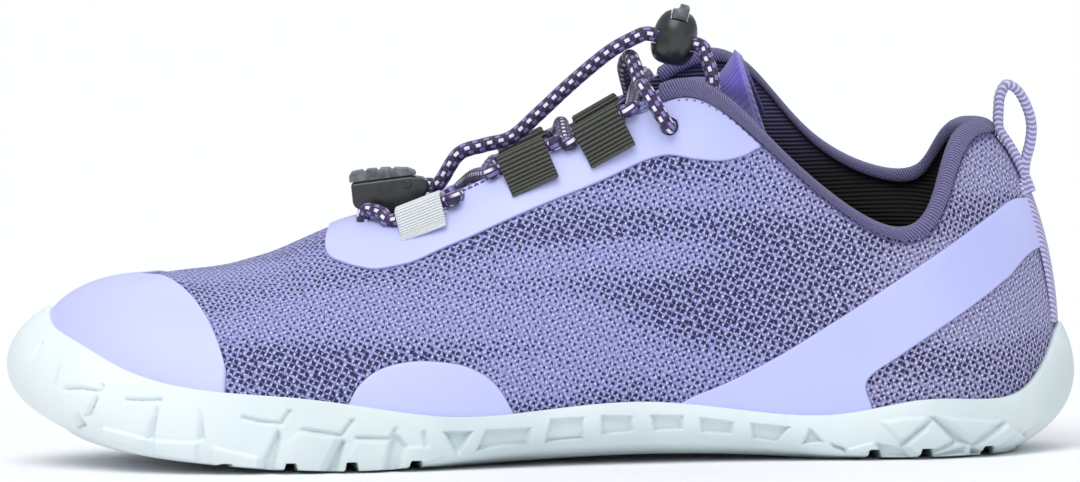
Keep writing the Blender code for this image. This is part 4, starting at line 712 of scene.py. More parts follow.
# Fine moulded grooves by their points, all of one depth and of one reach to each side.
SIDE_LINES = [[(15.3, 20.3), (19.0, 20.6), (24.0, 20.1), (24.8, 21.4)],
              [(30.7, 18.2), (34.9, 18.1), (39.1, 18.3)],
              [(59.5, 14.0), (63.5, 13.0), (68.8, 12.5), (70.8, 15.4)],
              [(74.0, 10.9), (83.3, 9.4), (86.1, 12.9)], [(87.3, 8.7), (95.3, 8.3), (96.6, 10.6)],
              [(226.6, 9.2), (219.7, 3.8)], [(245.5, 8.4), (237.5, 3.3)],
              [(232.8, 4.2), (224.4, 0.7)], [(103.9, 6.4), (103.4, 9.6)]]
LINE_DEPTH, LINE_REACH = 1.2, 0.7
RELIEF_GAIN = 1.35      # all heights and depths of the shapes are taken times this


def apart_from(points, a, b):
    """Distances of points from the line between a and b."""
    run = np.subtract(b, a)
    t = np.clip(((points - a) @ run) / run.dot(run), 0, 1)
    return np.linalg.norm(points - a - t[:, None] * run, axis=1)


def relief_at(points):
    """How far the sole's side stands out at side-view points (x, z)."""
    total = np.zeros(len(points))
    for height, slope, corners in SIDE_RELIEFS:
        pairs = list(zip(corners, corners[1:] + corners[:1]))
        edge = np.minimum.reduce([apart_from(points, a, b) for a, b in pairs])
        turns = np.array([(b[0] - a[0]) * (points[:, 1] - a[1])
                          - (b[1] - a[1]) * (points[:, 0] - a[0]) for a, b in pairs])
        crossed = np.zeros(len(points), bool)
        for (a, b), turn in zip(pairs, turns):
            spans = (a[1] > points[:, 1]) != (b[1] > points[:, 1])
            crossed ^= spans & ((turn > 0) == (b[1] > a[1]))
        total += RELIEF_GAIN * height * np.where(crossed, np.clip(edge / slope, 0, 1), 0.0)
    for line in SIDE_LINES:
        near = np.minimum.reduce([apart_from(points, a, b) for a, b in zip(line, line[1:])])
        total -= LINE_DEPTH * np.clip(1 - near / LINE_REACH, 0, 1)
    return total


def base_point(k, reach, z):
    """Points beside the foot's outline, at a height."""
    flat = ring(k)[:, :2] + np.asarray(reach, float).reshape(-1, 1) * beside(k)
    return np.column_stack([flat, np.broadcast_to(z, len(flat))])


def rim_share(k):
    return at_height(k, ring(k)[:, 10])


def sole_side(k, share):
    """The outside of the sole's wall, from its rim (0) to the edge of the tread (1)."""
    here = ring(k)
    tuck, bulge, puff = here[:, 13], here[:, 14:15], here[:, 15]
    top = skin(k, rim_share(k), CLEARANCE + RIM_WALL)
    low = base_point(k, CLEARANCE + CUP_WALL - tuck, np.maximum(here[:, 11], 0.3))
    drop = (RIM_DROP * (top[:, 2] - low[:, 2]))[:, None] * [0, 0, 1.0]
    lean = base_point(k, 1.0, 0.0) - base_point(k, 0.0, 0.0)
    return curve_of(top, top + bulge * lean - drop, low + (tuck + puff)[:, None] * lean + drop,
                    low, share)


def cloth_map(run, around):
    """A grid's UV map, from the measures along its rows and round its columns."""
    return np.stack(np.broadcast_arrays(np.asarray(run)[None], np.asarray(around)[:, None]), 2)


WALL_ROWS, FLOOR_ROWS, SIDE_ROWS = 5, 5, 52
TREAD_SHARES = np.concatenate([[0.02, 0.05, 0.08, 0.14], np.linspace(0.2, 0.8, 17),
                               [0.86, 0.92, 0.95, 0.98]])
sole_ks = even_sections(640, 0.0, LAST, 0.1)
rows = []
for w in np.linspace(1.0, 0.15, WALL_ROWS):
    rows.append(skin(sole_ks, rim_share(sole_ks) * w, CLEARANCE))
floor_near = base_point(sole_ks, CLEARANCE, ring(sole_ks)[:, 9] - CLEARANCE)
floor_far = base_point(-sole_ks, CLEARANCE, ring(sole_ks)[:, 9] - CLEARANCE)
for s in np.linspace(0, 1, FLOOR_ROWS):
    rows.append(floor_near + (floor_far - floor_near) * s)
for w in np.linspace(0.15, 1.0, WALL_ROWS):
    rows.append(skin(-sole_ks, rim_share(-sole_ks) * w, CLEARANCE))
# The rim's edge is rounded between the inside and the outside of the cup.
for side_ks_here, shares in ((-sole_ks, np.linspace(0, 1, SIDE_ROWS)),
                             (sole_ks, np.linspace(1, 0, SIDE_ROWS))):
    lean = base_point(side_ks_here, 1.0, 0.0) - base_point(side_ks_here, 0.0, 0.0)
    wall = []
    for s in shares:
        points = sole_side(side_ks_here, np.full(len(sole_ks), s))
        points += lean * (relief_at(points[:, ::2]) * np.clip(s / 0.1, 0, 1))[:, None]
        wall.append(points)
    if side_ks_here is not sole_ks and len(rows) == 2 * WALL_ROWS + FLOOR_ROWS:
        far_low = sole_side(-sole_ks, np.ones(len(sole_ks)))
        near_low = sole_side(sole_ks, np.ones(len(sole_ks)))
        middle = np.maximum(ring(sole_ks)[:, 12], 0.0)
        rows += wall
        for s in TREAD_SHARES:
            edge = far_low + (near_low - far_low) * s
            depth = np.clip(min(s, 1 - s) / 0.14, 0, 1) ** 0.6
            edge[:, 2] += (middle - edge[:, 2]) * depth
            rows.append(edge)
    else:
        rows += wall
section = np.array(rows)


def groove_at(points):
    """The height that the tread's grooves reach at these places, from above and below."""
    x, y = points[:, :, 0], points[:, :, 1]
    reach = np.zeros(x.shape)
    for share in GROOVES:
        apart = np.abs(x - share * LENGTH + GROOVE_TURN * y)
        reach = np.maximum(reach, LUG_DEPTH * np.clip((LUG_GAP / 2 + 0.2 - apart) / 0.4, 0, 1))
    for line, low, high in ((-0.30, 26, 96), (0.26, 26, 96), (-0.26, 204, 250), (0.26, 204, 250)):
        wave = line * BALL_WIDTH * 0.5 + 2.2 * np.abs((x / 8.0) % 2 - 1)
        on = (x > low) & (x < high)
        apart = np.abs(y - wave)
        reach = np.maximum(reach, on * 0.75 * LUG_DEPTH * np.clip((1.3 - apart) / 0.4, 0, 1))
    return reach


outside = section[2 * WALL_ROWS + FLOOR_ROWS:]
outside[:, :, 2] = np.maximum(outside[:, :, 2], groove_at(outside))
section = np.concatenate([section, section[:1]], 0)
sole = lay("rubber_sole", section, cloth_map(sole_ks * 10, np.arange(len(section))), 0.03)
# Rows meet in a ridge at both ends and in some grooves, which leaves faces inside.
clear_inside(fill=True)
dress(sole, RUBBER, "sole_rubber", "sole")

# Collar binding: a knit tape folded over the edge from one throat corner round to the other.
BINDING_RIB = 0.75      # the tape's ribs, across its length
BINDING_KNIT, tree, shader = new_material("ribbed_binding_knit", 0.85, Sheen_Weight=0.2)
cloth = put("TexCoord", out="UV")
lean = put("Math", put("SeparateXYZ", cloth, out="Y"), 0.35, put("SeparateXYZ", cloth, out="X"),
           operation="MULTIPLY_ADD")
ribs = rib(lean, BINDING_RIB)
fuzzy = put("Math", put("TexNoise", cloth, 1.1, 3.0), 1.4, ribs, operation="MULTIPLY_ADD")
cover(put("Mix", put("MapRange", fuzzy, -0.5, 1.7), "#464270", "#827daf"), ribs, 0.22, 0.8)
# The fold's outline: how far out of the form, and how far above (below, under 0) its edge.
FOLD = [(0.3, -3.5), (0.9, -3.6), (1.25, -3.2), (1.45, -2.2), (1.5, -1.1), (1.4, -0.1),
        (1.1, 0.7), (0.4, 1.2), (-0.6, 1.35), (-1.6, 1.2), (-2.4, 0.7), (-2.85, -0.1),
        (-3.0, -1.1), (-2.9, -2.0), (-2.5, -2.3), (-2.2, -1.9), (-2.1, -0.9), (-2.0, 0.2),
        (-0.9, 0.35), (0.25, 0.2), (0.3, -1.2), (0.3, -2.4)]


def narrow(ks):
    """The share of its depth that the binding shows, less along the low sides of the collar."""
    return np.interp(level(ks), [10.4, 11.6, 14.4, 15.4], [1.0, 0.66, 0.66, 0.95])


def fold_ring(ks, shrink, ahead):
    """The binding's outline at each section, drawn together and pushed on at its ends."""
    upright = unit(last(ks, 1.0) - last(ks, 0.97))
    normal = outward(ks, 1.0)
    rows = []
    for out, rise in FOLD + FOLD[:1]:
        if rise < 0 < out:
            rows.append(last(ks, below_top(ks, -rise * narrow(ks))) + out * normal)
        else:
            rows.append(last(ks, 1.0) + out * normal + rise * upright)
    rows = np.array(rows)
    middle = rows[:-1].mean(axis=0)
    along = unit(np.gradient(middle, axis=0))
    return middle + (rows - middle) * shrink[:, None] + along * ahead[:, None]


half = even_sections(170, BINDING_START, LAST, 1.0)
binding_ks = np.concatenate([half, AROUND - half[-2::-1]])
binding_ks = np.concatenate([[half[0]] * 3, binding_ks, [AROUND - half[0]] * 3])
binding_ks[:4] += [0, 0.004, 0.008, 0.012]
binding_ks[-4:] -= [0.012, 0.008, 0.004, 0]
close = np.ones(len(binding_ks))
close[:3], close[-3:] = [0.0, 0.6, 0.9], [0.9, 0.6, 0.0]
push = np.zeros(len(binding_ks))
push[:3], push[-3:] = [-0.8, -0.65, -0.35], [0.35, 0.65, 0.8]
points = fold_ring(binding_ks, close, push)
measures = cloth_map(run_along(points[8]), run_along(points[:, 200]))
binding = lay("collar_binding_tape", points, measures, 0.01)
dress(binding, BINDING_KNIT, "binding_knit", "collar_binding")

# Tongue: a padded strip in a ribbed satin knit, under both edges of the throat; behind it a
# stiffer end stands up inside the collar.
SATIN, tree, shader = new_material("ribbed_satin_knit", 0.38, Sheen_Weight=0.3)
cloth = put("TexCoord", out="UV")
ribs = rib(put("SeparateXYZ", cloth, out="Y"), 1.3)
satin = put("Mix", put("MapRange", ribs, -1.0, 1.0), "#453d7c", "#5f54a6")
# The tab at the tongue's top is painted lighter above and darker below, as painted light and
# shade.
up = put("SeparateXYZ", put("TexCoord", out="Object"), out="Z")
lit_and_shaded_tab = put("Mix", put("MapRange", up, 0.088, 0.094), "#433b80", "#6c5fca")
high = put("MapRange", put("SeparateXYZ", cloth, out="X"), 60.0, 74.0)
cover(put("Mix", high, satin, lit_and_shaded_tab), ribs, 0.12, 0.6)
TONGUE_START, TONGUE_END = 5.35, 10.35
TONGUE_TUCK = 0.84
TONGUE_GAP = 1.3
TONGUE_CROWN = 0.5
TONGUE_THICKNESS = 2.6
TONGUE_WIDTH = 40.0     # of its cloth, laid flat
TAB_EDGE = [(188.2, -21.5, 76.5), (181.3, 1.5, 99.6), (187.6, 25.0, 84.0)]


def tongue_row(k_here, depth, shares):
    """Points across the tongue at a section, at a depth in its padding."""
    inside = -(UPPER_WALL + TONGUE_GAP + depth)
    near, far = (skin(s * k_here, TONGUE_TUCK, inside)[0] for s in (1, -1))
    over = np.clip((k_here - THROAT) / 1.5, 0, 1)
    crown = (skin(k_here, 1.0)[0] + skin(-k_here, 1.0)[0]) / 2
    crown[2] += inside + (TONGUE_CROWN + 0.6) * over
    return bowed(near, crown, far, shares)


def bowed(near, crown, far, shares):
    """A bow from one point to another over a third."""
    s = shares[:, None]
    return (1 - s) ** 2 * near + 2 * s * (1 - s) * (2 * crown - (near + far) / 2) + s ** 2 * far


across = crowded(31)
columns = []
for k in np.linspace(TONGUE_START, TONGUE_END, 90):
    columns.append(np.concatenate([tongue_row(k, 0.0, across),
                                   tongue_row(k, TONGUE_THICKNESS, across[::-1])]))
tab_edge = bowed(*np.array(TAB_EDGE), across)
tab_edge = np.concatenate([tab_edge, tab_edge[::-1] + [1.6, 0, -1.5]])
start = columns[-1]
columns += [start + (tab_edge - start) * t - np.array([0, 0, 2.2 * math.sin(math.pi * t)])
            for t in np.linspace(0, 1, 31)[1:]]
points = np.array(columns).transpose(1, 0, 2)
points = np.concatenate([points, points[:1]], 0)
for end in (0, -1):
    middle = points[:-1, end].mean(axis=0)
    flat = (points[:31, end] + points[61:30:-1, end]) / 2
    folded = np.concatenate([flat, flat[::-1], flat[:1]])
    points = np.insert(points, 0 if end == 0 else points.shape[1], folded, axis=1)
over = np.concatenate([across, across[::-1], across[:1]]) * TONGUE_WIDTH
tongue = lay("tongue_padding", points, cloth_map(run_along(points[15]), over), 0.02)
dress(tongue, SATIN, "tongue_knit", "tongue")

# Insole: a removable footbed of foam under a dark fabric, cut to the inside of the upper and laid
# in it, with its rim raised at the edge.
INSOLE_FABRIC, tree, shader = new_material("insole_fabric", 0.92)
weave = put("TexNoise", put("TexCoord", out="Object"), 900.0, 2.0)
cover(put("Mix", put("MapRange", weave, 0.35, 0.65), "#17151f", "#2b2740"), weave, 0.15, 0.6)
INSOLE_THICKNESS = 3.0
ks = even_sections(160, 0.0, LAST, 0.1)
inset = -(UPPER_WALL + CLEARANCE)
floor_z = ring(ks)[:, 9]
edges = [(0.8, 0.0, 0.0), (0.3, 0.25, 0.0), (0.1, 0.6, 0.0), (0.3, 1.0, 0.4), (0.8, 1.0, 0.6)]
wall = [(inset - back_in, floor_z + INSOLE_THICKNESS * up + lift) for back_in, up, lift in edges]
near = [base_point(ks, reach, z) for reach, z in wall]
far = [base_point(-ks, reach, z) for reach, z in wall]
top = [far[-1] + (near[-1] - far[-1]) * t - np.array([0, 0, 0.7 * math.sin(math.pi * t) ** 0.5])
       for t in np.linspace(0, 1, 15)[1:-1]]
under = [near[0] + (far[0] - near[0]) * t for t in np.linspace(0, 1, 7)[1:-1]]
section = np.array(far + top + near[::-1] + under + far[:1])
flat_map = section[:, :, :2]
insole = lay("insole_footbed", section[::-1], flat_map[::-1], 0.03)
dress(insole, INSOLE_FABRIC, "insole_foam", "insole")


def strap(name, path, across, width, thickness, pitch=0.0, swell=0.0):
    """A woven tape along a path: round-edged, with ribs across it that stand out by swell."""
    path = np.array(path, float)
    across = unit(np.asarray(across, float))
    face = unit(np.cross(np.gradient(path, axis=0), across))
    run = run_along(path)
    half = thickness / 2 * (1 + (swell * np.cos(2 * math.pi * run / pitch) if pitch else 0 * run))
    arc = np.radians(np.linspace(-90, 90, 7))
    outline = [(width / 2 - thickness / 2 * (1 - math.cos(a)), math.sin(a)) for a in arc]
    flats = np.linspace(1, -1, 15)[1:-1] * (width / 2 - thickness / 2)
    outline += [(a, 1.0) for a in flats]
    outline += [(-a, -b) for a, b in outline[:7]] + [(-a, -1.0) for a in flats]
    outline.append(outline[0])
    points = np.array([path + across * a + face * (b * half)[:, None] for a, b in outline])
    start, end = (np.broadcast_to(p, (len(outline), 1, 3)) for p in (path[0], path[-1]))
    points = np.concatenate([start, points, end], 1)
    run = np.concatenate([[0], run, run[-1:]])
    widths = np.array([a for a, _ in outline])
    return lay(name, points[::-1], cloth_map(run, widths)[::-1], 0.01)


# Heel tape and pull loop: a lilac webbing, woven 10 mm wide with slanted ribs. The tape is sewn
# down the middle of the back; over its top end the loop is folded out and sewn down.
LILAC_TAPE, tree, shader = new_material("slanted_rib_webbing", 0.75, Sheen_Weight=0.2)
cloth = put("TexCoord", out="UV")
sideways = put("SeparateXYZ", cloth, out="Y")
lean = put("Math", sideways, 0.55, put("SeparateXYZ", cloth, out="X"), operation="MULTIPLY_ADD")
ribs = rib(lean, 1.25)
woven = put("Math", rib(sideways, 0.6), 0.3, ribs, operation="MULTIPLY_ADD")
cover(put("Mix", put("MapRange", woven, -1.0, 1.0), "#8d88bd", "#d5d0f0"), ribs, 0.2, 0.8)
TAPE_TOP, TAPE_FOOT = 0.815, 0.388
tape_zs = np.linspace(TAPE_FOOT, TAPE_TOP, 80) * HEEL_HEIGHT
reaches = [back_level(z, BACK_TAPE / 2) for z in tape_zs]
tape_ks = np.array([LAST + (LAST - k) * np.linspace(-1, 1, 25) for k in reaches])
tape_vs = np.array([at_height(ks, np.full(25, z)) for ks, z in zip(tape_ks, tape_zs)])
edge_of = np.sqrt(1 - np.abs(np.linspace(-1, 1, 25)) ** 8)
tape_top = skin(tape_ks, tape_vs, 0.2 + 0.9 * edge_of).reshape(80, 25, 3)
tape_under = skin(tape_ks, tape_vs, 0.1).reshape(80, 25, 3)
points = np.concatenate([tape_top, tape_under[:, ::-1], tape_top[:, :1]], 1)
points = np.concatenate([points[:1] * 0 + points[:1].mean(axis=1, keepdims=True), points,
                         points[-1:] * 0 + points[-1:].mean(axis=1, keepdims=True)], 0)
across = np.concatenate([np.linspace(-5, 5, 25), np.linspace(5, -5, 25), [-5]])
run = np.concatenate([tape_zs[:1], tape_zs, tape_zs[-1:]])
sizes = np.stack(np.broadcast_arrays(run[:, None], across[None]), 2)
tape = lay("heel_tape", points, sizes, 0.01)
dress(tape, LILAC_TAPE, "overlay_film", "back_tape")
Fold = namedtuple("Fold", "back up")
PULL_LOOP = [Fold(0.0118, 0.000), Fold(0.0122, 0.035), Fold(0.0140, 0.085),
             Fold(0.0205, 0.118), Fold(0.0310, 0.098), Fold(0.0395, 0.045), Fold(0.0430, -0.008),
             Fold(0.0415, -0.062), Fold(0.0362, -0.130), Fold(0.0352, -0.218)]
collar_back = last(LAST, 1.0)[0]
# One leg lies on the heel, from the other one's foot up over the binding.
leg = collar_back[2] + np.linspace(-0.215, -0.035, 7) * HEEL_HEIGHT
leg = skin(np.full(7, LAST), at_height(np.full(7, LAST), leg), np.linspace(1.0, 1.5, 7))
pull_path = smooth_path(list(leg * (1, 0, 1)) + [
    (collar_back[0] + f.back * LENGTH, 0, collar_back[2] + f.up * HEEL_HEIGHT)
    for f in PULL_LOOP], 190)
pull = strap("heel_pull_loop", pull_path, (0, 1, 0), BACK_TAPE, 2.3, 1.25, 0.06)
dress(pull, LILAC_TAPE, "overlay_film", "pull_loop")

# Lace loops: ribbed nylon webbing, a white one in front and two black ones behind it on each
# side. Each is folded round the lace at the throat's edge and sewn on the eyestay.
LOOP_PLACES = [0.396, 0.489, 0.559]
LOOP_OUT = [1.5, 1.3, 1.3]      # how far the loops' tunnels stand out of the film
LOOP_DOWN = [7.4, 3.8, 4.3]     # and how far down the eyestay they sit
LACE = 3.5
TAPE_WIDTH, TAPE_THICKNESS = 12.4, 1.0
TUNNEL = LACE / 2 + CLEARANCE + TAPE_THICKNESS / 2
TUNNEL_OUT = TUNNEL + TAPE_THICKNESS / 2 + 0.35
TUNNEL_UP = 0.6
TAPE_LEVEL = 1.9
TAPE_SEAM = [4.3, 6.6, 5.8]


# Its ribs lie across the tape, over many thin threads.
Webbing = namedtuple("Webbing", "name low high pitch roughness swell slot")
WHITE, BLACK = (
    Webbing("white_nylon_webbing", "#b9c0c6", "#fbfdfb", 0.7, 0.75, 0.14, "white_webbing"),
    Webbing("black_nylon_webbing", "#040504", "#5c6056", 1.1, 0.7, 0.22, "black_webbing"))
WEBBING_FINISH = {}
for kind in (BLACK, WHITE):
    WEBBING_FINISH[kind.name], tree, shader = new_material(kind.name, kind.roughness)
    cloth = put("TexCoord", out="UV")
    ribs = rib(put("SeparateXYZ", cloth, out="X"), kind.pitch, "COSINE")
    threads = rib(put("SeparateXYZ", cloth, out="Y"), 0.55)
    woven = put("Math", threads, 0.35, ribs, operation="MULTIPLY_ADD")
    woven = put("Math", put("TexNoise", cloth, 1.7, 3.0), 1.2, woven, operation="MULTIPLY_ADD")
    cover(put("Mix", put("MapRange", woven, -0.6, 1.9), kind.low, kind.high), woven, 0.12, 0.7)


def throat_k(x, side):
    """The section at which the throat's edge on one side is as far back as x."""
    ks = np.linspace(THROAT + 0.1, 10.5, 300)
    return np.interp(x, last(-side * ks, 1.0)[:, 0], ks) * -side


def throat_frame(x, side):
    """Edge point, directions along the throat (backward), down the upper and out of it."""
    k = throat_k(x, side)
    here = last(k, 1.0)[0]
    along = unit((last(k - 0.05 * side, 1.0) - last(k + 0.05 * side, 1.0))[0])
    down = (last(k, 0.9) - last(k, 1.0))[0]
    down = unit(down - along * np.dot(down, along))
    out = np.cross(along, down)
    out *= math.copysign(1.0, np.dot(out, outward(k, 0.95)[0]))
    return here, along, down, out


def loop_frame(row, side):
    here, along, down, out = throat_frame(LOOP_PLACES[row] * LENGTH, side)
    return here + out * LOOP_OUT[row] + down * LOOP_DOWN[row], along, down, out


def lace_point(row, side, end):
    """The middle of a loop's tunnel, at its toe end (-1), its middle (0) or its heel end (1)."""
    here, along, down, out = loop_frame(row, side)
    return here - down * TUNNEL_OUT + out * TUNNEL_UP + along * end * (TAPE_WIDTH / 2 + CLEARANCE)


for row in range(3):
    for word, side in SIDES.items():
        edge = throat_frame(LOOP_PLACES[row] * LENGTH, side)[0]
        k = throat_k(edge[0], side)
        here, along, down, out = loop_frame(row, side)
        path = []
        for depth in (TAPE_SEAM[row] + LOOP_DOWN[row], TAPE_SEAM[row] / 2 + LOOP_DOWN[row]):
            # The sewn part lies on the film, which curves away from the throat's edge.
            sink = (last(k, below_top(k, depth))[0] - edge) @ out
            path.append(edge + down * depth + out * (sink + TAPE_LEVEL))
        for angle in (60, 90, 120, 150, 180, 210, 240, 270, 300, 330):
            a = math.radians(angle)
            path.append(here + down * (TUNNEL * math.cos(a) - TUNNEL_OUT)
                        + out * (TUNNEL * math.sin(a) + TUNNEL_UP))
        kind = BLACK if row else WHITE
        loop = strap(f"lace_webbing_{row + 1}_{word}", smooth_path(path, 170), along, TAPE_WIDTH,
                     TAPE_THICKNESS, kind.pitch, kind.swell)
        dress(loop, WEBBING_FINISH[kind.name], kind.slot, f"lace_loop_{row + 1}_{word}")

# Eyelets near the top corners of the throat: round holes punched through the film and the knit,
# without a ring, one millimetre wider than the lace.
EYELET = Edge(0.624, 0.885)


def apply_all(piece):
    """Applies the piece's modifiers, top to bottom."""
    bpy.ops.object.select_all(action="DESELECT")
    piece.select_set(True)
    bpy.context.view_layer.objects.active = piece
    for change in list(piece.modifiers):
        bpy.ops.object.modifier_apply(modifier=change.name)


for word, side in SIDES.items():
    k, v = drawn([EYELET], side)[0]
    axis = outward(k, v)[0]
    bpy.ops.object.select_all(action="DESELECT")
    bpy.ops.mesh.primitive_cylinder_add(vertices=32, radius=(LACE / 2 + 0.5) * MM,
                                        depth=16 * MM)
    punch = bpy.context.object
    flat = np.array([corner.co for corner in punch.data.vertices])
    second = unit(np.cross(axis, [1.0, 0, 0]))
    turn = np.array([np.cross(second, axis), second, axis])
    middle = place(skin(k, v))[0]
    punch.data.vertices.foreach_set("co", (flat @ turn + middle).ravel())
    for target in (upper, eyestay):
        change = target.modifiers.new("eyelet", "BOOLEAN")
        change.object = punch
        change.solver = "EXACT" if target is upper else "FAST"
        apply_all(target)
    bpy.data.objects.remove(punch)


def tube(name, path, radius, sides=16):
    """A round cord along a path in millimetres, with rounded ends."""
    path = np.array(path, float)
    along = unit(np.gradient(path, axis=0))
    path = np.concatenate([path[:1] - along[:1] * radius * np.array([[0.8], [0.6], [0.3]]), path,
                           path[-1:] + along[-1:] * radius * np.array([[0.3], [0.6], [0.8]])])
    along = np.concatenate([along[:1]] * 3 + [along] + [along[-1:]] * 3)
    girth = np.full(len(path), float(radius))
    girth[:3], girth[-3:] = np.array([0, 0.6, 0.9]) * radius, np.array([0.9, 0.6, 0]) * radius
    side = np.cross(along[0], [0.0, 0.0, 1.0])
    if np.linalg.norm(side) < 0.1:
        side = np.cross(along[0], [0.0, 1.0, 0.0])
    sides_of, ups = [], []
    for forward in along:
        side = unit(side - forward * np.dot(side, forward))
        sides_of.append(side)
        ups.append(np.cross(side, forward))
    angles = np.linspace(0, 2 * math.pi, sides + 1)[:, None, None]
    points = path + girth[:, None] * (np.cos(angles) * np.array(sides_of)
                                      + np.sin(angles) * np.array(ups))
    turned = np.linspace(0, 2 * math.pi * radius, sides + 1)
    return lay(name, points, cloth_map(run_along(path), turned), 0.005)


# Stitching: a lilac-grey polyester sewing thread, in machine rows under the binding, on the
# eyestay and round the front holes. It dives through the film or knit at each stitch.
THREAD, tree, shader = new_material("sewing_thread", 0.7)
twist = put("TexNoise", put("TexCoord", out="UV"), 3.0, 2.0)
cover(put("Mix", put("MapRange", twist, 0.35, 0.65), "#4d4878", "#7f79b4"), twist, 0.05, 0.5)


def stitch(name, ks, vs, level_over, pitch, slot):
    """A row of stitches through (k, v) points, with the thread's level over the form."""
    path = skin(ks, vs, level_over)
    run = run_along(path)
    steps = np.arange(0, run[-1], pitch / 8)
    ks, vs = np.interp(steps, run, ks), np.interp(steps, run, vs)
    dive = 0.42 * np.cos(2 * math.pi * steps / pitch) - 0.12
    dress(tube(name, skin(ks, vs, level_over + dive), 0.22, 8), THREAD, slot)


BINDING_STITCH, EYESTAY_STITCH, HOLE_STITCH = 2.1, 1.7, 1.3
BINDING_SEAM = 0.8                  # below the binding's lower edge
EYESTAY_SEAM = (106.0, 120.0)       # from and to this far back
SEAM_DEPTH = 1.5                    # below the throat's edge
HOLE_X, HOLE_DEPTH = 88.4, 2.0      # middle of the bow of stitches round the front hole
for word, side in SIDES.items():
    ks = np.linspace(BINDING_START + 0.2, LAST - 0.05, 400) * -side
    stitch("binding_stitches_" + word, ks, below_top(ks, 3.7 * narrow(ks) + BINDING_SEAM), 0.4,
           BINDING_STITCH, "binding_knit")
    ks = throat_k(np.linspace(*EYESTAY_SEAM, 60), side)
    stitch("eyestay_stitches_" + word, ks, below_top(ks, SEAM_DEPTH), FILM_TOP + 0.2,
           EYESTAY_STITCH, "overlay_film")
    turn = np.radians(np.linspace(170, 370, 50))
    ks = throat_k(HOLE_X + 4.2 * np.cos(turn), side)
    stitch("hole_stitches_" + word, ks, below_top(ks, HOLE_DEPTH - 3.6 * np.sin(turn)),
           FILM_TOP + 0.2, HOLE_STITCH, "overlay_film")

# Lace: one round elastic cord, braided from dark yarn with white and lilac yarns that show as
# short dashes in eight rows round it.
DASH_PITCH, DASH_LENGTH = 2.9, 1.25
LACE_BRAID, tree, shader = new_material("braided_elastic_lace", 0.6, Sheen_Weight=0.2)
cloth = put("TexCoord", out="UV")


def from_middle(value):
    """How far a value is from the middle between two whole numbers."""
    share = put("Math", put("Math", value, operation="FRACT"), 0.5, operation="SUBTRACT")
    return put("Math", share, operation="ABSOLUTE")


rows_round = put("Math", put("SeparateXYZ", cloth, out="Y"), math.pi * LACE / 8,
                 operation="DIVIDE")
row_number = put("Math", rows_round, operation="FLOOR")
odd = put("Math", row_number, 2.0, operation="MODULO")
turn = put("Math", put("SeparateXYZ", cloth, out="X"), DASH_PITCH, operation="DIVIDE")
turn = put("Math", put("Math", row_number, 4.0, operation="MODULO"), 0.25, turn,
           operation="MULTIPLY_ADD")
dash_half = DASH_LENGTH / DASH_PITCH / 2
in_dash = put("Math", put("MapRange", from_middle(turn), dash_half - 0.03, dash_half + 0.05,
                          1.0, 0.0),
              put("MapRange", from_middle(rows_round), 0.26, 0.40, 1.0, 0.0),
              operation="MULTIPLY")
braid = put("TexVoronoi", cloth, 1.6, voronoi_dimensions="2D")
dark_yarn = put("Mix", put("MapRange", braid, 0.1, 0.6), "#45336f", "#160f2b")
light_yarn = put("Mix", odd, "#f2edfc", "#8f7fc4")
cover(put("Mix", in_dash, dark_yarn, light_yarn),
      put("Math", in_dash, braid, operation="SUBTRACT"), 0.25, 0.7)
LEAD = 2.6
HUMPS = [-0.5, 1.8]
CROSS_APART = 1.7       # half the distance between two laces that cross
FILM_FACE = 1.4         # outer face of the solid film that the lace lies on


def route(points, step):
    """A smooth curve through points, cut into steps of about one length."""
    rough = smooth_path(points, 200)
    return smooth_path(points, max(int(run_along(rough)[-1] / step), 4) + 1)


def straight(row, side, end):
    """The direction in which the lace passes through a loop."""
    return loop_frame(row, side)[1] * end


def crossing(row, side, hump):
    """The lace from one loop over to the next loop on the other side."""
    start, end = lace_point(row, side, 1), lace_point(row + 1, -side, -1)
    middle = (start + end) / 2 + np.array([0, 0, hump])
    return [start, start + straight(row, side, 1) * LEAD, middle,
            end + straight(row + 1, -side, -1) * LEAD, end]


def over_tongue(k, height):
    return (skin(k, 1.0)[0] + skin(-k, 1.0)[0]) / 2 + np.array([0, 0, height])


def eyelet(side, height):
    """A point over (or below) the middle of an eyelet."""
    return skin(*drawn([EYELET], side)[0], height)[0]


LACE_LEVEL = FILM_FACE + LACE / 2 + 2 * CLEARANCE
for word, side in SIDES.items():
    toeward = straight(0, side, -1)
    mouth = lace_point(0, side, -1)
    hole = skin(-side * 6.2, 0.90, FILM_FACE + LACE / 2 + 0.5)[0]
    into = skin(-side * 6.12, 0.90, -2.0)[0]
    path = [into, (into + hole) / 2 - [1.0, 0, 0], hole - [0, 0, 0.4],
            (mouth + toeward * 1.0 + hole) / 2 + np.array([0, 0, 0.3]), mouth + toeward * 1.0]
    path += crossing(0, side, HUMPS[0] + side * CROSS_APART)
    path += crossing(1, -side, HUMPS[1] - side * CROSS_APART)
    path.append(lace_point(2, side, 0))
    nodes = ["lace_start_" + word, "lace_crossing_2"]
    if side < 0:
        start = lace_point(2, -1, 1)
        edge_k = drawn([EYELET], 1)[0, 0]
        path += [start, start + straight(2, -1, 1) * LEAD, over_tongue(9.35, 1.4),
                 skin(edge_k, 0.995, LACE_LEVEL + 0.5)[0] - [2.0, 0, 0],
                 eyelet(1, LACE_LEVEL), eyelet(1, 1.0), eyelet(1, -5.0)]
        nodes = ["lace_start_" + word, "lace_crossing_1", "lace_top_strand"]
    run = tube("lace_run_" + word, route(path, 0.6), LACE / 2)
    dress(run, LACE_BRAID, "lace", *nodes)
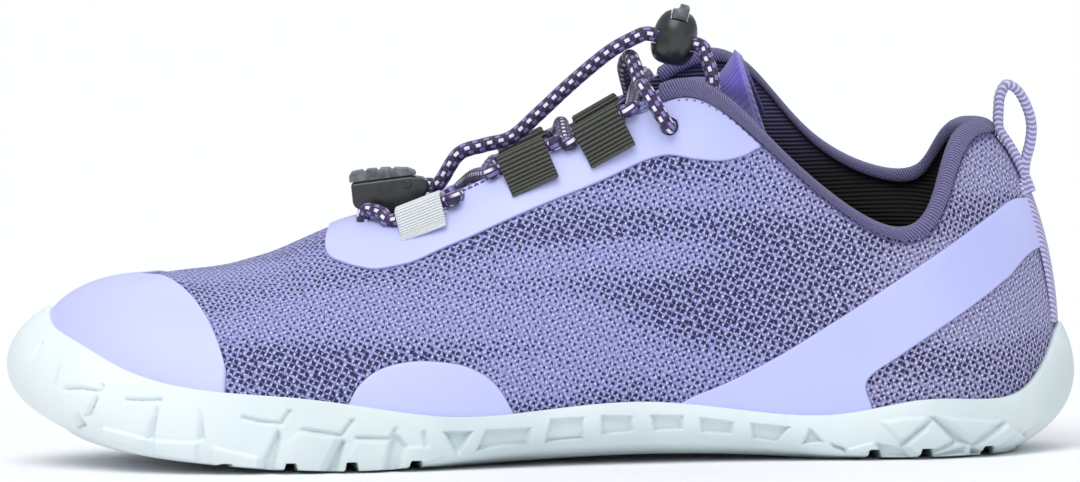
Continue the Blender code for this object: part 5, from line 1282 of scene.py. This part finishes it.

# Cord lock and end clip: bodies of moulded black plastic, with a button and a lid of grey
# plastic. Both have a fine grain and lighter patches of painted highlight.
PLASTIC, tree, shader = new_material("moulded_black_plastic", 0.30, Specular_IOR_Level=0.7)
place_of = put("TexCoord", out="Object")
highlight_noise = put("MapRange", put("TexNoise", place_of, 260.0, 4.0), 0.35, 0.75)
cover(put("Mix", highlight_noise, "#1b1e20", "#303538"), put("TexNoise", place_of, 1600.0, 2.0), 0.04, 0.4)
GREY_PLASTIC, tree, shader = new_material("moulded_grey_plastic", 0.42)
# The grey plastic's lighter patches are painted highlight as well.
highlight_noise = put("TexNoise", put("TexCoord", out="Object"), 420.0, 3.0)
cover(put("Mix", put("MapRange", highlight_noise, 0.35, 0.7), "#505457", "#7b8084"), highlight_noise, 0.05, 0.4)


def slab(name, outline, origin, along, up, depth, bevel):
    """A moulded block: its outline in the side view, in millimetres, drawn out across the shoe."""
    bpy.ops.object.select_all(action="DESELECT")
    bpy.ops.mesh.primitive_circle_add(vertices=len(outline), fill_type="NGON")
    piece = bpy.context.object
    piece.name = piece.data.name = name
    corners = np.array([np.asarray(origin) + np.asarray(along) * x + np.asarray(up) * z
                        for x, z in outline])
    corners[:, 1] -= depth / 2
    piece.data.vertices.foreach_set("co", place(corners).ravel())
    piece.data.update()
    bpy.ops.object.mode_set(mode="EDIT")
    bpy.ops.mesh.select_all(action="SELECT")
    bpy.ops.mesh.extrude_region_move(TRANSFORM_OT_translate={"value": (0, depth * MM, 0)})
    bpy.ops.mesh.select_all(action="SELECT")
    bpy.ops.mesh.normals_make_consistent(inside=False)
    bpy.ops.object.mode_set(mode="OBJECT")
    if bevel:
        round_edges(piece, bevel)
    return piece


def round_edges(piece, size):
    """Rounds the sharp edges and smooths the shading over them."""
    change = piece.modifiers.new("rounding", "BEVEL")
    change.width = size * MM
    change.segments = 3
    change.limit_method = "ANGLE"
    change.angle_limit = math.radians(28)
    change.harden_normals = False
    apply_all(piece)
    piece.data.shade_smooth()


def cut_out(piece, cutter):
    """Cuts one closed shape out of another."""
    change = piece.modifiers.new("cut", "BOOLEAN")
    change.object = cutter
    change.solver = "EXACT"
    apply_all(piece)
    bpy.data.objects.remove(cutter)


# The cord lock is an egg-shaped body, open at the sides for both laces; between its two lobes
# stands the sprung button's plate.
TOGGLE_TILT = math.radians(14)
TOGGLE_CENTRE = np.array([166.3, -5.0, 102.6])
TOGGLE_UP = np.array([math.sin(TOGGLE_TILT), 0, math.cos(TOGGLE_TILT)])
TOGGLE_ALONG = np.array([math.cos(TOGGLE_TILT), 0, -math.sin(TOGGLE_TILT)])
EGG = [(0.0, -6.2), (2.2, -6.1), (3.6, -5.6), (4.6, -4.6), (5.3, -3.0), (5.6, -1.0), (5.5, 1.0),
       (5.2, 3.0), (4.6, 4.8), (3.7, 6.2), (2.7, 7.0), (1.3, 7.4), (0.0, 7.5)]
EGG_DEEPER = 1.12
egg = smooth_path(EGG, 60)
egg[0, 0] = egg[-1, 0] = 0
angles = np.linspace(0, 2 * math.pi, 73)
points = np.array([[TOGGLE_CENTRE + TOGGLE_UP * h + TOGGLE_ALONG * r * math.cos(a)
                    + np.array([0, EGG_DEEPER * r * math.sin(a), 0]) for a in angles]
                   for r, h in egg])
toggle = lay("cord_lock_body", points, points[:, :, ::2], 0.01)
LACE_PITCH = LACE + 2 * CLEARANCE
SLOT_TALL = LACE + CLEARANCE
SLOT_DEEP = LACE_PITCH + SLOT_TALL
BUTTON_ROOM = [(-2.15, 5.0), (2.15, 5.0), (2.3, 9.0), (-2.3, 9.0)]
BUTTON_WELL = [(-2.15, 3.4), (2.15, 3.4), (2.15, 5.4), (-2.15, 5.4)]
channel = [(-8.0, -SLOT_TALL / 2), (8.0, -SLOT_TALL / 2), (8.0, SLOT_TALL / 2),
           (-8.0, SLOT_TALL / 2)]
for outline, deep in ((channel, SLOT_DEEP), (BUTTON_WELL, 8.6), (BUTTON_ROOM, 20.0)):
    cut_out(toggle, slab("cutter", outline, TOGGLE_CENTRE, TOGGLE_ALONG, TOGGLE_UP, deep, 0))
round_edges(toggle, 0.35)
dress(toggle, PLASTIC, "black_plastic", "toggle_body")
BUTTON_PLATE = [(-1.95, 5.2), (1.95, 5.2), (2.0, 8.3), (1.7, 9.0), (-0.3, 9.1), (-0.5, 7.8),
                (-1.95, 7.5)]
button = slab("cord_lock_button", BUTTON_PLATE, TOGGLE_CENTRE, TOGGLE_ALONG, TOGGLE_UP, 8.0, 0.3)
dress(button, GREY_PLASTIC, "black_plastic", "toggle_button", body="button")

# The clip is a wedge closed over both ends of the lace, with a ribbed lid, and with a pin across
# its heel half.
CLIP_CENTRE = np.array([95.4, 2.5, 66.6])
CLIP_LEAN = math.radians(6)
CLIP_ALONG = np.array([math.cos(CLIP_LEAN), 0, math.sin(CLIP_LEAN)])
CLIP_UP = np.array([-math.sin(CLIP_LEAN), 0, math.cos(CLIP_LEAN)])
CLIP_LENGTH = 18.0
CLIP_BODY = [(-9.3, 2.7), (-9.4, -2.4), (-8.6, -3.6), (-5.0, -5.0), (-2.5, -6.0), (1.0, -6.0),
             (5.5, -4.6), (8.6, -2.4), (9.9, -0.6), (9.8, 0.9), (8.4, 2.1), (5.5, 2.8)]
CLIP_LID = [(-9.6, 3.0), (-9.5, 4.6), (-8.7, 5.5), (-6.0, 5.7), (-5.8, 5.2), (-5.2, 5.2),
            (-5.0, 5.7), (-2.6, 5.6), (-2.4, 5.1), (-1.8, 5.1), (-1.6, 5.6), (0.8, 5.4),
            (1.0, 4.9), (1.6, 4.9), (1.8, 5.3), (5.0, 4.8), (6.8, 3.9), (7.0, 3.0)]
clip = slab("end_clip_body", CLIP_BODY, CLIP_CENTRE, CLIP_ALONG, CLIP_UP, 9.6, 0.7)
bpy.ops.mesh.primitive_cylinder_add(vertices=24, radius=1.05 * MM, depth=10.2 * MM,
                                    rotation=(math.pi / 2, 0, 0),
                                    location=place(CLIP_CENTRE + CLIP_ALONG * 4.6
                                                   + CLIP_UP * 0.9))
pin = bpy.context.object
bpy.ops.object.transform_apply(location=True, rotation=True, scale=True)
round_edges(pin, 0.2)
pin.select_set(True)
clip.select_set(True)
bpy.context.view_layer.objects.active = clip
bpy.ops.object.join()
dress(clip, PLASTIC, "black_plastic", "end_clip")
lid = slab("end_clip_lid", CLIP_LID, CLIP_CENTRE, CLIP_ALONG, CLIP_UP, 8.6, 0.35)
dress(lid, GREY_PLASTIC, "grey_plastic", "clip_lever")

# The free lengths of the lace: a slack bow into the lateral eyelet, and both ends through the
# cord lock into the clip. Their routes repeat the solids' own.
Point = namedtuple("Point", "x y z")
SLACK = [Point(153.9, 6.0, 95.6), Point(155.3, -1.0, 98.6), Point(156.4, -8.0, 96.8),
         Point(157.9, -13.5, 91.6)]
LACE_END = [Point(175.6, -9.5, 90.8), Point(175.3, -8.2, 94.4), Point(174.0, -6.2, 98.2)]
LACE_ARC = [Point(156.4, -4.4, 103.2), Point(151.4, -3.6, 100.6), Point(146.0, -2.2, 96.6),
            Point(139.4, -0.6, 91.0), Point(132.6, 0.6, 84.8), Point(125.8, 1.0, 79.0),
            Point(119.0, 1.6, 77.2), Point(112.6, 2.2, 75.0)]


def free_lace(name, points, node):
    """A free length of lace."""
    path = route(points, 0.6)
    piece = tube(name, path, LACE / 2)
    dress(piece, LACE_BRAID, "lace", node)


far_mouth = lace_point(2, 1, 1)
near_k = drawn([EYELET], -1)[0, 0]
near_edge = skin(near_k, 0.995, LACE_LEVEL + 0.8)[0] - [2.5, 0, 0]
free_lace("lace_slack_bow", [far_mouth, far_mouth + straight(2, 1, 1) * LEAD, *SLACK, near_edge,
                             eyelet(-1, LACE_LEVEL), eyelet(-1, 1.0), eyelet(-1, -4.0)],
          "lace_slack")
clip_mouth = CLIP_CENTRE + CLIP_ALONG * (CLIP_LENGTH / 2 + CLEARANCE)
for word, side in SIDES.items():
    shift = np.array([0, side * LACE_PITCH / 2, 0])
    through = [TOGGLE_CENTRE + TOGGLE_ALONG * a for a in (7.0, 2.5, -2.5, -7.0)]
    points = [*LACE_END, *through, *LACE_ARC, clip_mouth + CLIP_ALONG * 3.0, clip_mouth]
    free_lace("lace_tail_" + word, [np.array(p) + shift for p in points], "lace_end_" + word)

# Stage: a pale floor, with three wide suns and a pale sky whose light comes from all round, so
# that the shadows are soft.
FLOOR, tree, shader = new_material("pale_floor", 0.9)
shader.inputs["Base Color"].default_value = linear("#f6f7f9")
bpy.ops.mesh.primitive_plane_add(size=40, location=(0, 0, 0))
floor = bpy.context.object
floor.name = "floor"
floor.data.materials.append(FLOOR)
Sun = namedtuple("Sun", "name power spread tilt turn")
SUNS = [Sun("key", 1.7, 50, 30, -24), Sun("front", 0.45, 80, 68, 10), Sun("rim", 0.5, 60, 40, 160)]
for sun in SUNS:
    lamp = bpy.data.lights.new(sun.name, "SUN")
    lamp.energy = sun.power
    lamp.angle = math.radians(sun.spread)
    thing = bpy.data.objects.new(sun.name, lamp)
    thing.rotation_euler = (math.radians(sun.tilt), 0, math.radians(sun.turn))
    bpy.context.scene.collection.objects.link(thing)
world = bpy.data.worlds.new("studio")
world.use_nodes = True
sky = world.node_tree.nodes["Background"]
sky.inputs["Color"].default_value = linear("#f4f6fb")
sky.inputs["Strength"].default_value = 0.50
bpy.context.scene.world = world
bpy.context.scene.view_settings.view_transform = "Standard"

# The photograph: 1080 by 482 points, 4.046 of them to a millimetre, its middle at AIM, seen with
# a long lens from 3 degrees up and turned by a degree.
AIM = (132.36, 0.0, 53.3)
VIEW_DISTANCE = 2.6
VIEW_RISE = math.radians(3.0)
VIEW_ROLL = math.radians(-0.985)
FRAME_MM = 1080 / 4.0456
camera = bpy.data.cameras.new("camera")
camera.sensor_width = 36
camera.lens = camera.sensor_width * VIEW_DISTANCE / (FRAME_MM * MM)
eye = bpy.data.objects.new("camera", camera)
aim = place(AIM)
eye.location = aim + VIEW_DISTANCE * np.array([0, -math.cos(VIEW_RISE), math.sin(VIEW_RISE)])
eye.rotation_mode = "ZXY"
eye.rotation_euler = (math.pi / 2 - VIEW_RISE, 0, VIEW_ROLL)
bpy.context.scene.collection.objects.link(eye)
bpy.context.scene.camera = eye
